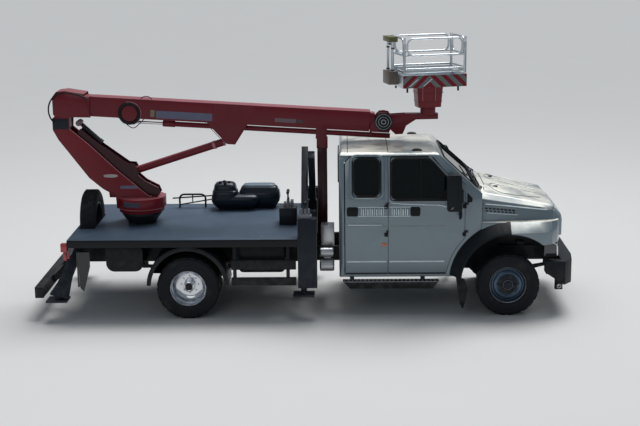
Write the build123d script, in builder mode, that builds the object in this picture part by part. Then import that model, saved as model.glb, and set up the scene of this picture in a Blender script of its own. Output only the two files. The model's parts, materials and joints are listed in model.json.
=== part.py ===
"""A bonneted truck with a telescopic work platform on its deck.

Millimetres, +X forwards, +Y left, +Z up. The origin is on the ground below the middle of the
overall length. Places along the truck are counted from the front axle, forwards positive.
"""

from build123d import *
import math
import os

os.makedirs("parts", exist_ok=True)

# Overall and running gear
wheelbase = 4515
front_overhang = 950
rear_overhang = 2175
front_axle_x = (front_overhang + wheelbase + rear_overhang) / 2 - front_overhang
rear_axle_x = -wheelbase
rear_end = rear_axle_x - rear_overhang
tyre_radius = 445
tyre_width = 225
rim_radius = 262
axle_z = tyre_radius
front_wheel_y = 908
rear_wheel_y = 860
twin_pitch = 255
running_gap = 0.3
swing_gap = 6

# Chassis frame
rail_y = 395
rail_width = 70
rail_top = 880
rail_height = 210
rail_front = 760
rail_rear = rear_axle_x - 1635

# Spare wheel, upright across the deck's tail and sunk between the rails
spare_x = rear_axle_x - 1522
spare_z = 1205

# Deck
deck_front = -2960
deck_rear = rear_axle_x - 1675
deck_half_width = 1150
deck_top = 1170
deck_edge = 110
deck_plate = 30
subframe_top = deck_top - deck_edge

# Cab
cab_rear = -2380
cab_floor = 560
cab_half_width = 970
cab_wall = 45
roof_edge = 2345
roof_crown = 2362
roof_round = 100
drip_z = 2240
kerf = 0.3
tunnel_half = 450
tunnel_top = 900
door_split = -1690
door_parting = 5
pillar_gap = 7
pillar_depth = 50
pillar_half = 45
door_rear_seam = -2300
door_rear_edge = -2292
window_corner = 45
door_front = -620
door_sill = 600
door_top = 2280
hinge_y = cab_half_width + 15
hinge_radius = 12
hinge_length = 50
hinge_front_x = -612
hinge_rear_x = -1706
firewall_x = -380

# Nose
nose_front = 790
arch_x = 20
arch_z = 505
arch_radius = 700
arch_inner_y = 500
flare_radius = 845
flare_y = cab_half_width + 150
flare_seat = cab_half_width + 2
door_clearance = 50
bonnet_rear_z = 1610
bonnet_front_z = 1470
bonnet_skin = 25
tow_eye_radius = 17.5
bonnet_hinge_x = -376
bonnet_hinge_z = 1800
bay_half_width = 480
hinge_low = arch_z + math.sqrt((flare_radius + 65) ** 2 - (hinge_front_x - arch_x) ** 2)
hinge_heights = (hinge_low, 1560)

# Boom and its column
slew_x = rear_axle_x - 780
head_x = -1730
head_z = 2640
boom_height = 290
boom_width = 230
boom_wall = 6
inner_height = 240
inner_width = 180
pivot_x = slew_x - 1034.5
pivot_z = 2840.2
pivot_drop = 89
pivot_back = math.sqrt((head_x - pivot_x) ** 2 + (pivot_z - head_z) ** 2 - pivot_drop**2)
boom_tilt = math.degrees(
    math.atan2(pivot_z - head_z, head_x - pivot_x) + math.atan2(pivot_drop, pivot_back)
)
column_y = 122
column_plate = 20
pedestal_top = 1345
lift_foot = (slew_x - 285, 1870)
eye_back = pivot_back - 2413
eye_drop = 388
barrel_radius = 55
rod_radius = 30
tube_drop = 210
tube_radius = 37
carrier_turn_x = -1085
basket_yaw = 15
basket_length = 950
basket_depth = 620
basket_floor = 3190
basket_height = 680
basket_tube = 14
basket_post = 20
toe_height = 150
hoop_height = 235
hoop_inset = 45
hoop_corner = 85
rail_heights = (basket_floor + 200, basket_floor + 240)
carrier_seat = 2850
rest_x = cab_rear - 240

# Planes that the pieces are drawn on
side = Plane(origin=(front_axle_x, 0, 0), x_dir=(1, 0, 0), z_dir=(0, -1, 0))
top = Plane(origin=(front_axle_x, 0, 0))
front = Plane(origin=(front_axle_x, 0, 0), x_dir=(0, 1, 0), z_dir=(1, 0, 0))
tilt_cos = math.cos(math.radians(boom_tilt))
tilt_sin = math.sin(math.radians(boom_tilt))
boom = Plane(
    origin=(front_axle_x + head_x, 0, head_z),
    x_dir=(tilt_cos, 0, -tilt_sin),
    z_dir=(0, -1, 0),
)


def boom_point(back, drop):
    """Side view place, from the front axle, of a point behind and below the boom's head."""
    return (
        head_x - back * tilt_cos - drop * tilt_sin,
        head_z + back * tilt_sin - drop * tilt_cos,
    )


eye_x, eye_z = boom_point(eye_back, eye_drop)


def block(x_span, y_span, z_span, mode=Mode.ADD):
    """A box between two places along the truck, two across it and two heights."""
    middle = [sum(span) / 2 for span in (x_span, y_span, z_span)]
    with Locations((front_axle_x + middle[0], middle[1], middle[2])):
        Box(x_span[1] - x_span[0], y_span[1] - y_span[0], z_span[1] - z_span[0], mode=mode)


def slab(plane, points, near, far, mode=Mode.ADD):
    """A flat piece with the given outline, between two distances off its plane."""
    with BuildSketch(plane.offset(near)) as shape:
        with BuildLine():
            Polyline(*points, close=True)
        make_face()
    extrude(shape.sketch, amount=far - near, mode=mode)


def rounded(plane, points, corner, inset=0.0):
    """A closed outline with rounded corners, taken in by an inset."""
    with BuildSketch(plane) as shape:
        with BuildLine():
            Polyline(*points, close=True)
        make_face()
        fillet(shape.vertices(), corner)
        if inset:
            offset(amount=-inset, kind=Kind.INTERSECTION)
    return shape.sketch


def drum(plane, centre, radius, near, far, mode=Mode.ADD):
    """A round piece square to its plane, between two distances off it."""
    with BuildSketch(plane.offset(near)) as shape:
        with Locations(centre):
            Circle(radius)
    extrude(shape.sketch, amount=far - near, mode=mode)


def finish(piece, name):
    """Names a finished piece and writes it."""
    piece.part.label = name
    export_step(piece.part, f"parts/{name}.step")
    box = piece.part.bounding_box()
    low = [round(value) for value in (box.min.X - front_axle_x, box.min.Y, box.min.Z)]
    high = [round(value) for value in (box.max.X - front_axle_x, box.max.Y, box.max.Z)]
    print(name, round(piece.part.volume / 1e9, 4), low, high)


def handed(right, name):
    """Writes a right hand piece and its mirrored left hand twin."""
    finish(right, f"{name}_right")
    with BuildPart() as left:
        mirror(right.part, about=Plane.XZ)
    finish(left, f"{name}_left")


# Chassis frame: two channel rails and their cross members
with BuildPart() as frame:
    for hand in (-1, 1):
        inner = hand * (rail_y - rail_width / 2)
        outer = hand * (rail_y + rail_width / 2)
        web = sorted((outer, outer - hand * 10))
        flange = sorted((inner, outer))
        block((rail_rear, rail_front), web, (rail_top - rail_height, rail_top))
        block((rail_rear, rail_front), flange, (rail_top - 10, rail_top))
        block((rail_rear, rail_front), flange, (rail_top - rail_height, rail_top - rail_height + 10))
    reach = rail_y + rail_width / 2 - 10
    for place in (slew_x, rear_axle_x + 615, deck_front + 130, rest_x, -1500, 620):
        block((place - 40, place + 40), (-reach, reach), (rail_top - 150, rail_top - 30))
    block((spare_x - 20, spare_x + 20), (-reach, reach), (rail_top - 190, spare_z - tyre_radius - 0.3))
    block((rail_rear - 30, rail_rear), (-reach - 10, reach + 10), (rail_top - rail_height, rail_top))
    for place in (-2250, -1300, -520):
        for hand in (-1, 1):
            near, far = sorted((hand * (rail_y - rail_width / 2), hand * (rail_y + rail_width / 2)))
            block((place - 60, place + 60), (near, far), (rail_top - 1, tunnel_top - running_gap))
finish(frame, "frame")

# Rear axle: tube, final drive and the leaf packs with their hangers
spring_top = rail_top - rail_height
with BuildPart() as rear_axle:
    drum(side, (rear_axle_x, axle_z), 62, -(rear_wheel_y + 60), rear_wheel_y + 60)
    with Locations((front_axle_x + rear_axle_x, 0, axle_z)):
        Sphere(190)
    with BuildSketch(Plane(origin=(front_axle_x + rear_axle_x, 0, axle_z), z_dir=(1, 0, 0))):
        Circle(90)
    extrude(amount=300)
    for hand in (-1, 1):
        near = hand * rail_y - 35
        slab(
            side,
            [
                (rear_axle_x - 700, spring_top - 60),
                (rear_axle_x - 700, spring_top - 90),
                (rear_axle_x - 60, axle_z + 40),
                (rear_axle_x + 60, axle_z + 40),
                (rear_axle_x + 700, spring_top - 90),
                (rear_axle_x + 700, spring_top - 60),
                (rear_axle_x + 60, axle_z + 120),
                (rear_axle_x - 60, axle_z + 120),
            ],
            near,
            near + 70,
        )
        for end in (-700, 700):
            block(
                (rear_axle_x + end - 40, rear_axle_x + end + 40),
                (-near - 70, -near),
                (spring_top - 100, spring_top),
            )
finish(rear_axle, "rear_axle")

# Front axle: a dropped beam with an eye at each end, and its leaf packs
kingpin_y = 760
eye_half = 60
with BuildPart() as front_axle:
    block((-45, 45), (-kingpin_y + 55, kingpin_y - 55), (axle_z - 100, axle_z - 10))
    block((-40, 40), (-kingpin_y + 30, kingpin_y - 30), (axle_z - 50, axle_z - 10))
    for hand in (-1, 1):
        drum(top, (0, hand * kingpin_y), 45, axle_z - eye_half, axle_z + eye_half)
        drum(top, (0, hand * kingpin_y), 20, axle_z - 100, axle_z + 100, mode=Mode.SUBTRACT)
        near = hand * rail_y - 35
        slab(
            side,
            [
                (-620, spring_top - 60),
                (-620, spring_top - 90),
                (-60, axle_z - 10),
                (60, axle_z - 10),
                (620, spring_top - 90),
                (620, spring_top - 60),
                (60, axle_z + 70),
                (-60, axle_z + 70),
            ],
            near,
            near + 70,
        )
        for end in (-620, 620):
            block((end - 40, end + 40), (-near - 70, -near), (spring_top - 100, spring_top))
finish(front_axle, "front_axle")

# Steering knuckle: a fork over the axle's eye, its kingpin and the wheel spindle
with BuildPart() as knuckle:
    for low in (axle_z + eye_half + running_gap, axle_z - eye_half - running_gap - 30):
        drum(top, (0, -kingpin_y), 44, low, low + 30)
        block((-44, 44), (-kingpin_y - 75, -kingpin_y), (low, low + 30))
    block((-44, 44), (-kingpin_y - 75, -kingpin_y - 50), (axle_z - 90, axle_z + 90))
    drum(top, (0, -kingpin_y), 19.7, axle_z - 90, axle_z + 90)
    drum(side, (0, axle_z), 34.7, kingpin_y + 75, front_wheel_y + 60)
    block((-160, -40), (-kingpin_y - 30, -kingpin_y + 10), (axle_z - 90.3, axle_z - 60.3))
handed(knuckle, "knuckle")


def tyre_section(centre_y):
    """Half section of a tyre: across the truck and out from the hub."""
    half = tyre_width / 2
    with BuildLine() as loop:
        Polyline(
            (centre_y - half + 25, rim_radius + 0.3),
            (centre_y - half, rim_radius + 50),
            (centre_y - half + 5, tyre_radius - 50),
            (centre_y - half + 35, tyre_radius),
            (centre_y + half - 35, tyre_radius),
            (centre_y + half - 5, tyre_radius - 50),
            (centre_y + half, rim_radius + 50),
            (centre_y + half - 25, rim_radius + 0.3),
            close=True,
        )
    make_face(loop.edges())


def hub_plane(axle):
    """Plane through a wheel's axis: across the truck to the right, and up."""
    return Plane(
        origin=(front_axle_x + axle, 0, axle_z), x_dir=(0, -1, 0), z_dir=(-1, 0, 0)
    )


def make_tyre(axle, centres):
    with BuildPart() as tyre:
        for centre in centres:
            with BuildSketch(hub_plane(axle)):
                tyre_section(centre)
            revolve(axis=Axis((front_axle_x + axle, 0, axle_z), (0, -1, 0)))
    return tyre


rear_centres = (rear_wheel_y - twin_pitch / 2, rear_wheel_y + twin_pitch / 2)
handed(make_tyre(0, [front_wheel_y]), "tyre_front")
handed(make_tyre(rear_axle_x, rear_centres), "tyre_rear")


hole_circle = 215
hole_count = 10
hole_radius = 19


def make_rim(axle, centres, spindle, disc_out, hub_reach):
    """Wheel: a barrel for each tyre, a disc and a hub over the spindle."""
    axis = Axis((front_axle_x + axle, 0, axle_z), (0, -1, 0))
    disc = front_wheel_y if len(centres) == 1 else centres[1] - 60
    with BuildPart() as rim:
        for centre in centres:
            half = tyre_width / 2 - 20
            with BuildSketch(hub_plane(axle)):
                with BuildLine():
                    Polyline(
                        (centre - half, rim_radius),
                        (centre + half, rim_radius),
                        (centre + half, rim_radius - 14),
                        (centre + half - 25, rim_radius - 20),
                        (centre - half + 25, rim_radius - 20),
                        (centre - half, rim_radius - 14),
                        close=True,
                    )
                make_face()
            revolve(axis=axis)
        with BuildSketch(hub_plane(axle)):
            with BuildLine():
                Polyline(
                    (disc - 30, spindle + 0.5),
                    (disc - 30, 110),
                    (disc + disc_out - 14, 150),
                    (disc + disc_out - 14, 190),
                    (disc - 20, rim_radius - 19),
                    (disc, rim_radius - 19),
                    (disc + disc_out, 200),
                    (disc + disc_out, 140),
                    (disc + hub_reach - 30, 100),
                    (disc + hub_reach, 80),
                    (disc + hub_reach, 0),
                    (disc + hub_reach - 20, 0),
                    (disc + hub_reach - 20, spindle + 0.5),
                    close=True,
                )
            make_face()
        revolve(axis=axis)
        with BuildSketch(Plane(origin=(front_axle_x + axle, 0, axle_z), z_dir=(0, -1, 0))) as holes:
            with PolarLocations(hole_circle, hole_count):
                Circle(hole_radius)
        extrude(holes.sketch, amount=disc + hub_reach, mode=Mode.SUBTRACT)
        if len(centres) == 2:
            drum(
                Plane(origin=(front_axle_x + axle, 0, axle_z), z_dir=(0, -1, 0)),
                (0, 0), rim_radius - 19.5, centres[0] + 55, centres[0] + 75,
            )
            drum(
                Plane(origin=(front_axle_x + axle, 0, axle_z), z_dir=(0, -1, 0)),
                (0, 0), 130, centres[0] + 60, disc - 20,
            )
            drum(
                Plane(origin=(front_axle_x + axle, 0, axle_z), z_dir=(0, -1, 0)),
                (0, 0), spindle + 0.5, centres[0] - 20, disc + hub_reach - 20,
                mode=Mode.SUBTRACT,
            )
    return rim


handed(make_rim(0, [front_wheel_y], 34.7, 60, 100), "rim_front")
handed(make_rim(rear_axle_x, rear_centres, 62, -40, 90), "rim_rear")

# Engine and gearbox: one plain mass with the propeller shaft
with BuildPart() as engine:
    block((-150, 560), (-250, 250), (620, 1230))
    block((-900, -150 - kerf), (-180, 180), (600, 860))
    for hand in (-1, 1):
        near, far = sorted((hand * (250 + kerf), hand * rail_y))
        block((200, 300), (near, far), (rail_top + running_gap, rail_top + 40))
    with BuildSketch(Plane(origin=(front_axle_x - 900 - kerf, 0, 700), z_dir=(-0.9985, 0, -0.054))):
        Circle(45)
    extrude(amount=-(rear_axle_x + 900) - 305)
finish(engine, "engine")

# Cab: outer and inner blocks, the shell between them, and the doors cut from it
screen_foot_z = 1760
screen_head_x = -1010
screen_head_z = roof_crown - 28
cab_outline = [
    (cab_rear, cab_floor),
    (cab_rear, roof_edge),
    (-1900, roof_crown),
    (-1400, roof_crown - 4),
    (screen_head_x, screen_head_z),
    (firewall_x, screen_foot_z),
    (firewall_x, cab_floor),
]
cab_section = [
    # out from the middle, height
    (cab_half_width - 40, cab_floor),
    (cab_half_width - 12, 800),
    (cab_half_width, 1300),
    (cab_half_width - 15, 1680),
    (cab_half_width - 109, roof_edge - 20),
]


def near_to(vertices, places, plane):
    """The vertices of a profile that lie at some of its corners."""
    corners = [plane.from_local_coords((x, z, 0)) for x, z in places]
    return [vertex for vertex in vertices if any((vertex.center() - at).length < 1 for at in corners)]


def cab_block(inset):
    """The cab as a solid, taken in by a wall's thickness."""
    with BuildPart() as cab:
        with BuildSketch(side) as profile:
            with BuildLine():
                Polyline(*cab_outline, close=True)
            make_face()
            fillet(near_to(profile.vertices(), [cab_outline[1]], Plane.XY), roof_round)
            fillet(near_to(profile.vertices(), [cab_outline[4]], Plane.XY), 2 * roof_round)
            offset(amount=-inset, kind=Kind.INTERSECTION)
        extrude(profile.sketch, amount=cab_half_width + 50, both=True)
        with BuildSketch(front.offset(cab_rear - 50)) as section:
            with BuildLine():
                Polyline(*cab_section, (0, roof_crown), *[(-y, z) for y, z in reversed(cab_section)],
                         close=True)
            make_face()
            shoulders = [cab_section[-1], (-cab_section[-1][0], cab_section[-1][1])]
            fillet(near_to(section.vertices(), shoulders, Plane.XY), roof_round)
            offset(amount=-inset, kind=Kind.INTERSECTION)
        extrude(section.sketch, amount=firewall_x - cab_rear + 200, mode=Mode.INTERSECT)
        with BuildSketch(top) as plan:
            with BuildLine():
                Polyline(
                    (cab_rear, -cab_half_width),
                    (door_front, -cab_half_width),
                    (firewall_x, -cab_half_width + 15),
                    (firewall_x, cab_half_width - 15),
                    (door_front, cab_half_width),
                    (cab_rear, cab_half_width),
                    close=True,
                )
            make_face()
            rear_corners = [(cab_rear, -cab_half_width), (cab_rear, cab_half_width)]
            fillet(near_to(plan.vertices(), rear_corners, Plane.XY), roof_round)
            offset(amount=-inset, kind=Kind.INTERSECTION)
        extrude(plan.sketch, amount=2600, mode=Mode.INTERSECT)
        block((cab_rear - 50, firewall_x + 50), (-tunnel_half - inset, tunnel_half + inset),
              (0, tunnel_top + inset), mode=Mode.SUBTRACT)
    return cab.part


door_sweep = flare_radius + door_clearance
front_door_outline = [
    (door_split + door_parting, door_sill),
    (door_split + door_parting, drip_z),
    (door_split + door_parting + 40, door_top),
    (-1075, door_top),
    (door_front, 1775),
    (door_front, arch_z + math.sqrt(door_sweep**2 - (arch_x - door_front) ** 2)),
    *[
        (arch_x - door_sweep * math.cos(math.radians(angle)),
         arch_z + door_sweep * math.sin(math.radians(angle)))
        for angle in (34, 24, 14)
    ],
    (arch_x - door_sweep, door_sill),
]


def rear_door_outline(rear_edge):
    """The rear door, or the opening for it, up to a rear edge."""
    return [
        (rear_edge, door_sill),
        (rear_edge, door_top - 80),
        (rear_edge + 80, door_top),
        (door_split - door_parting, door_top),
        (door_split - door_parting, door_sill),
    ]


front_window = [
    (-1640, 1690),
    (-1640, 2250),
    (-1100, 2250),
    (-770, 1880),
    (-770, 1690),
]
rear_window = [(-2165, 1740), (-2165, 2250), (-1815, 2250), (-1815, 1740)]
screen_angle = math.atan2(screen_head_z - screen_foot_z, firewall_x - screen_head_x)
screen = Plane(
    origin=(front_axle_x - 660, 0, 2015),
    x_dir=(0, 1, 0),
    z_dir=(math.sin(screen_angle), 0, math.cos(screen_angle)),
)
screen_foot = cab_half_width - 170
screen_head = cab_half_width - 250
screen_corners = [(-screen_foot, -320), (-screen_head, 320), (screen_head, 320), (screen_foot, -320)]
back_window = [(-450, 1830), (-450, 2210), (450, 2210), (450, 1830)]
cab_outer = cab_block(0)
cab_inner = cab_block(cab_wall)


def outline(points, inset):
    """A closed outline taken in by an inset."""
    with BuildLine() as loop:
        Polyline(*points, close=True)
    make_face(loop.edges())
    if inset:
        offset(amount=-inset, kind=Kind.INTERSECTION)


door_inner_y = cab_half_width - 90
with BuildPart() as doorways:
    for points in (front_door_outline, rear_door_outline(door_rear_seam)):
        with BuildSketch(side):
            outline(points, -swing_gap)
        extrude(amount=cab_half_width + 50, both=True)
    add(cab_block(cab_wall + pillar_gap), mode=Mode.SUBTRACT)
    block((cab_rear, 0), (-door_inner_y, door_inner_y), (0, 1500), mode=Mode.SUBTRACT)
    block((cab_rear, 0), (-arch_inner_y - 100, arch_inner_y + 100), (0, 2400), mode=Mode.SUBTRACT)

with BuildPart() as pillars:
    block((door_split - pillar_half, door_split + pillar_half),
          (-cab_half_width - 30, cab_half_width + 30), (cab_floor, 2400))
    add(cab_inner, mode=Mode.INTERSECT)
    add(cab_block(cab_wall + pillar_depth), mode=Mode.SUBTRACT)
    add(doorways.part, mode=Mode.SUBTRACT)

wall_in = cab_wall + 1
panel_floor = cab_floor + wall_in
beam_top = panel_floor + pillar_depth
cowl_rear = arch_x - door_sweep - 25
cowl_front = firewall_x - wall_in
cowl_top = screen_foot_z - (wall_in + kerf) / math.cos(screen_angle) - 1
tunnel_side = arch_inner_y + 1
pillar_side = screen_foot + 10
with BuildPart() as cab_shell:
    add(cab_outer)
    add(cab_inner, mode=Mode.SUBTRACT)
    add(doorways.part, mode=Mode.SUBTRACT)
    extrude(rounded(screen, screen_corners, window_corner), amount=150, both=True, mode=Mode.SUBTRACT)
    extrude(rounded(front.offset(cab_rear - 10), back_window, window_corner), amount=100,
            mode=Mode.SUBTRACT)
    for hand in (-1, 1):
        near, far = sorted((-hand * (arch_inner_y - 20), -hand * (cab_half_width + 100)))
        with BuildSketch(side.offset(near)):
            with Locations((arch_x, arch_z)):
                Circle(arch_radius + 25)
        extrude(amount=far - near)
    add(cab_outer, mode=Mode.INTERSECT)
    for hand in (-1, 1):
        near, far = sorted((-hand * arch_inner_y, -hand * (cab_half_width + 100)))
        with BuildSketch(side.offset(near)):
            with Locations((arch_x, arch_z)):
                Circle(arch_radius)
        extrude(amount=far - near, mode=Mode.SUBTRACT)
        with BuildSketch(side.offset(near)):
            outline(front_door_outline, -swing_gap)
        extrude(amount=far - near, mode=Mode.SUBTRACT)
    add(pillars.part)
    for hand in (-1, 1):
        near, far = sorted((hand * 620.3, hand * 650))
        block((firewall_x - 12, bonnet_hinge_x), (near, far), (1740, bonnet_hinge_z))
        drum(side, (bonnet_hinge_x, bonnet_hinge_z), 10, near, far)
    # cuts too thin to be seen part the shell in panels: where each runs along, across and up
    panel_cuts = [
        ((cab_rear, 0), (-cab_half_width, cab_half_width), (drip_z, drip_z + kerf)),
        ((cab_rear, 0), (-cab_half_width, cab_half_width), (panel_floor, panel_floor + kerf)),
        ((cowl_rear, 0), (-cab_half_width, cab_half_width), (cowl_top, cowl_top + kerf)),
        ((door_split - pillar_half, door_split + pillar_half), (-cab_half_width, cab_half_width),
         (beam_top, beam_top + kerf)),
        ((cab_rear + wall_in, cab_rear + wall_in + kerf), (-cab_half_width, cab_half_width),
         (panel_floor, drip_z)),
        ((cowl_rear, cowl_rear + kerf), (-cab_half_width, cab_half_width), (panel_floor, cowl_top)),
        ((cowl_front - kerf, cowl_front), (-cab_half_width, cab_half_width), (panel_floor, cowl_top)),
    ]
    for hand in (-1, 1):
        panel_cuts += [
            ((cab_rear, cowl_front), sorted((hand * tunnel_side, hand * (tunnel_side + kerf))),
             (panel_floor, cowl_top)),
            ((cowl_rear, cowl_front), sorted((hand * door_inner_y, hand * (door_inner_y + kerf))),
             (panel_floor, cowl_top)),
            ((cowl_front - 15, 0), sorted((hand * pillar_side, hand * (pillar_side + kerf))),
             (cowl_top, screen_foot_z + 60)),
        ]
    for along, across, up in panel_cuts:
        block(along, across, up, mode=Mode.SUBTRACT)
    with BuildSketch(screen.offset(-wall_in - kerf)) as cut:
        Rectangle(2 * cab_half_width, 4 * cab_half_width)
    extrude(cut.sketch, amount=kerf, mode=Mode.SUBTRACT)
finish(cab_shell, "cab_shell")


door_inside = [
    (-cab_half_width + 155, door_top + 20),
    (-cab_half_width + 47, 1300),
    (-door_inner_y, cab_floor),
    (0, cab_floor),
    (0, door_top + 20),
]


def make_door(points, window, hinge_x):
    """A right hand door: the cab's wall inside its outline, its window cut, and its hinges."""
    with BuildPart() as door:
        add(cab_outer)
        add(cab_inner, mode=Mode.SUBTRACT)
        with BuildSketch(side.offset(600)):
            outline(points, 0)
        extrude(amount=cab_half_width, mode=Mode.INTERSECT)
        extrude(rounded(side.offset(600), window, window_corner), amount=cab_half_width,
                mode=Mode.SUBTRACT)
        slab(front.offset(cab_rear), door_inside, 0, -cab_rear, mode=Mode.SUBTRACT)
        for low in hinge_heights:
            high = low + hinge_length
            drum(top, (hinge_x, -hinge_y), hinge_radius, low, high)
            block((hinge_x - 38, hinge_x), (-hinge_y, -hinge_y + hinge_radius), (low, high))
            block((hinge_x - 38, hinge_x - 10), (-hinge_y + 5, -cab_half_width + 30), (low, high))
    return door


def make_pane(window):
    """Glass that fills a door's window, flush inside the wall."""
    with BuildPart() as pane:
        add(cab_block(18))
        add(cab_block(23), mode=Mode.SUBTRACT)
        extrude(rounded(side.offset(600), window, window_corner, running_gap), amount=cab_half_width,
                mode=Mode.INTERSECT)
    return pane


door_front_right = make_door(front_door_outline, front_window, hinge_front_x)
with BuildPart() as mirror_arm:
    mirror_in = -cab_half_width - 90
    mirror_out = -cab_half_width - 230
    case = [(-890, 1560), (-890, 2070), (-690, 2070), (-675, 1560)]
    extrude(rounded(side.offset(-mirror_in), case, window_corner), amount=mirror_in - mirror_out)
    block((-760, -730), (mirror_in - 1, -cab_half_width + 30), (1620, 1660))
    block((-760, -730), (mirror_in - 1, -cab_half_width + 30), (1860, 1890))
with BuildPart() as front_door:
    add(door_front_right.part)
    add(mirror_arm.part)
handed(front_door, "door_front")
handed(make_door(rear_door_outline(door_rear_edge), rear_window, hinge_rear_x), "door_rear")
handed(make_pane(front_window), "glass_front")
handed(make_pane(rear_window), "glass_rear")

# Body side of the door hinges: those of the rear doors reach the pillars through the door gap
hinge_plate = 3
with BuildPart() as door_hinges:
    for low in hinge_heights:
        span = (low + hinge_length + running_gap, low + hinge_length + 30)
        block((hinge_front_x, hinge_front_x + 40), (-hinge_y, -cab_half_width + 30), span)
    add(cab_outer, mode=Mode.SUBTRACT)
    for low in hinge_heights:
        span = (low + hinge_length + running_gap, low + hinge_length + 30)
        plate_x = door_split - hinge_plate / 2 - 1
        block((plate_x, plate_x + hinge_plate), (-hinge_y - 5, -door_inner_y), span)
        block((hinge_rear_x, plate_x + hinge_plate), (-hinge_y - 5, -hinge_y + 9), span)
        for place in (hinge_front_x, hinge_rear_x):
            drum(top, (place, -hinge_y), hinge_radius, *span)
    add(pillars.part, mode=Mode.SUBTRACT)
    mirror(about=Plane.XZ)
finish(door_hinges, "door_hinges")

with BuildPart() as cab_glass:
    extrude(rounded(screen.offset(-23), screen_corners, window_corner, running_gap), amount=5)
    extrude(rounded(front.offset(cab_rear + 18), back_window, window_corner, running_gap), amount=5)
finish(cab_glass, "cab_glass")

seat_height = 380
with BuildPart() as cab_interior:
    seat_floor = tunnel_top + cab_wall + 0.3
    for x, deep, centres, wide in ((-1400, 480, (-450, 450), 560), (-2240, 440, (0,), 1500)):
        for y in centres:
            seat_span = (y - wide / 2, y + wide / 2)
            block((x - 90, x + deep), seat_span, (seat_floor, seat_floor + seat_height))
            block((x - 90, x + 20), seat_span, (seat_floor + seat_height + kerf, seat_floor + 950))
    fillet(cab_interior.edges().filter_by(Axis.Y), 30)
    dash_x = firewall_x - cab_wall - running_gap
    slab(side, [(-640, 1180), (-640, 1400), (-560, 1470), (dash_x, 1480), (dash_x, 1150)],
         -cab_half_width + 110, cab_half_width - 110)
    with Locations(Location((front_axle_x - 790, 450, 1400), (0, -60, 0))):
        Torus(190, 14)
        Cylinder(40, 30)
        for angle in (0, 120, 240):
            with Locations(Location((0, 0, 0), (0, 0, angle))):
                Box(190, 26, 12, align=(Align.MIN, Align.CENTER, Align.CENTER))
    with Locations(Location((front_axle_x - 790, 450, 1400), (0, 120, 0))):
        Cylinder(22, 190, align=(Align.CENTER, Align.CENTER, Align.MIN))
finish(cab_interior, "cab_interior")

# Nose: wings and front panel below the bonnet, hollow for the engine
nose_sections = [
    # place, crown, edge out, edge height, shoulder out, shoulder height, side out
    (firewall_x, 1795, cab_half_width - 190, 1745, cab_half_width - 90, 1660, cab_half_width - 65),
    (640, 1545, cab_half_width - 290, 1535, cab_half_width - 210, 1480, cab_half_width - 170),
    (nose_front - 10, 1400, cab_half_width - 370, 1385, cab_half_width - 310, 1350, cab_half_width - 280),
]


nose_round = 50


def nose_block(inset):
    """The nose above the wings as a solid, taken in by a skin's thickness."""
    with BuildPart() as nose:
        for rear_end, front_end in zip(nose_sections, nose_sections[1:]):
            faces = []
            for place, crown, edge_y, edge_z, shoulder_y, shoulder_z, side_y in (
                rear_end, front_end,
            ):
                half = [
                    (side_y - inset, 1100),
                    (side_y - inset, 1340),
                    (shoulder_y - inset, shoulder_z - inset / 2),
                    (edge_y - inset, edge_z - inset),
                    (edge_y * 0.6, crown - inset),
                ]
                loop = half + [(-y, z) for y, z in reversed(half)]
                with BuildSketch(front.offset(place)) as section:
                    with BuildLine():
                        Polyline(*loop, close=True)
                    make_face()
                    for corner, turn in ((half[2], nose_round), (half[3], nose_round / 2)):
                        pair = [corner, (-corner[0], corner[1])]
                        fillet(near_to(section.vertices(), pair, Plane.XY), turn - inset / 2)
                faces.append(section.sketch)
            loft(faces, ruled=True)
    return nose.part


bonnet_pads = ((-150, cab_half_width - 125), (450, cab_half_width - 200))
wing_low = 1040
wing_high = 1348
wing_sections = [
    # place, body's half width, bulge's half width
    (arch_x, cab_half_width + 1, flare_y - 2),
    (430, cab_half_width - 20, flare_y - 25),
    (600, cab_half_width - 70, flare_y - 120),
    (700, cab_half_width - 150, flare_y - 260),
    (760, cab_half_width - 350, flare_y - 480),
]
nose_outer = nose_block(0)
nose_inner = nose_block(bonnet_skin)


def shut_z(place, rise):
    """Height of the line along which the bonnet closes, raised by a gap."""
    slope = (bonnet_rear_z - bonnet_front_z) / (nose_front - firewall_x)
    return bonnet_rear_z - slope * (place - firewall_x) + rise


def above_shut(rear_end, front_end, rise):
    """Outline of the room above the bonnet's shut line."""
    return [
        (rear_end, shut_z(rear_end, rise)), (front_end, shut_z(front_end, rise)),
        (front_end, 2000), (rear_end, 2000),
    ]


def wing_bulge(hand):
    """The swelling of one wing over its wheel, from the arch to the front corner."""
    faces = []
    with BuildPart() as bulge:
        for place, body_y, bulge_y in wing_sections:
            with BuildSketch(front.offset(place)) as section:
                with BuildLine():
                    Polyline(
                        (hand * (body_y - 40), wing_low), (hand * bulge_y, wing_low),
                        (hand * bulge_y, wing_high - 125), (hand * body_y, wing_high),
                        (hand * (body_y - 40), wing_high), close=True,
                    )
                make_face()
            faces.append(section.sketch)
        loft(faces, ruled=True)
    return bulge.part


with BuildPart() as upper_bay:
    add(nose_block(35))
    block((firewall_x - 1, 720), (-1000, 1000), (arch_z + arch_radius + 30, 2000),
          mode=Mode.INTERSECT)

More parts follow.
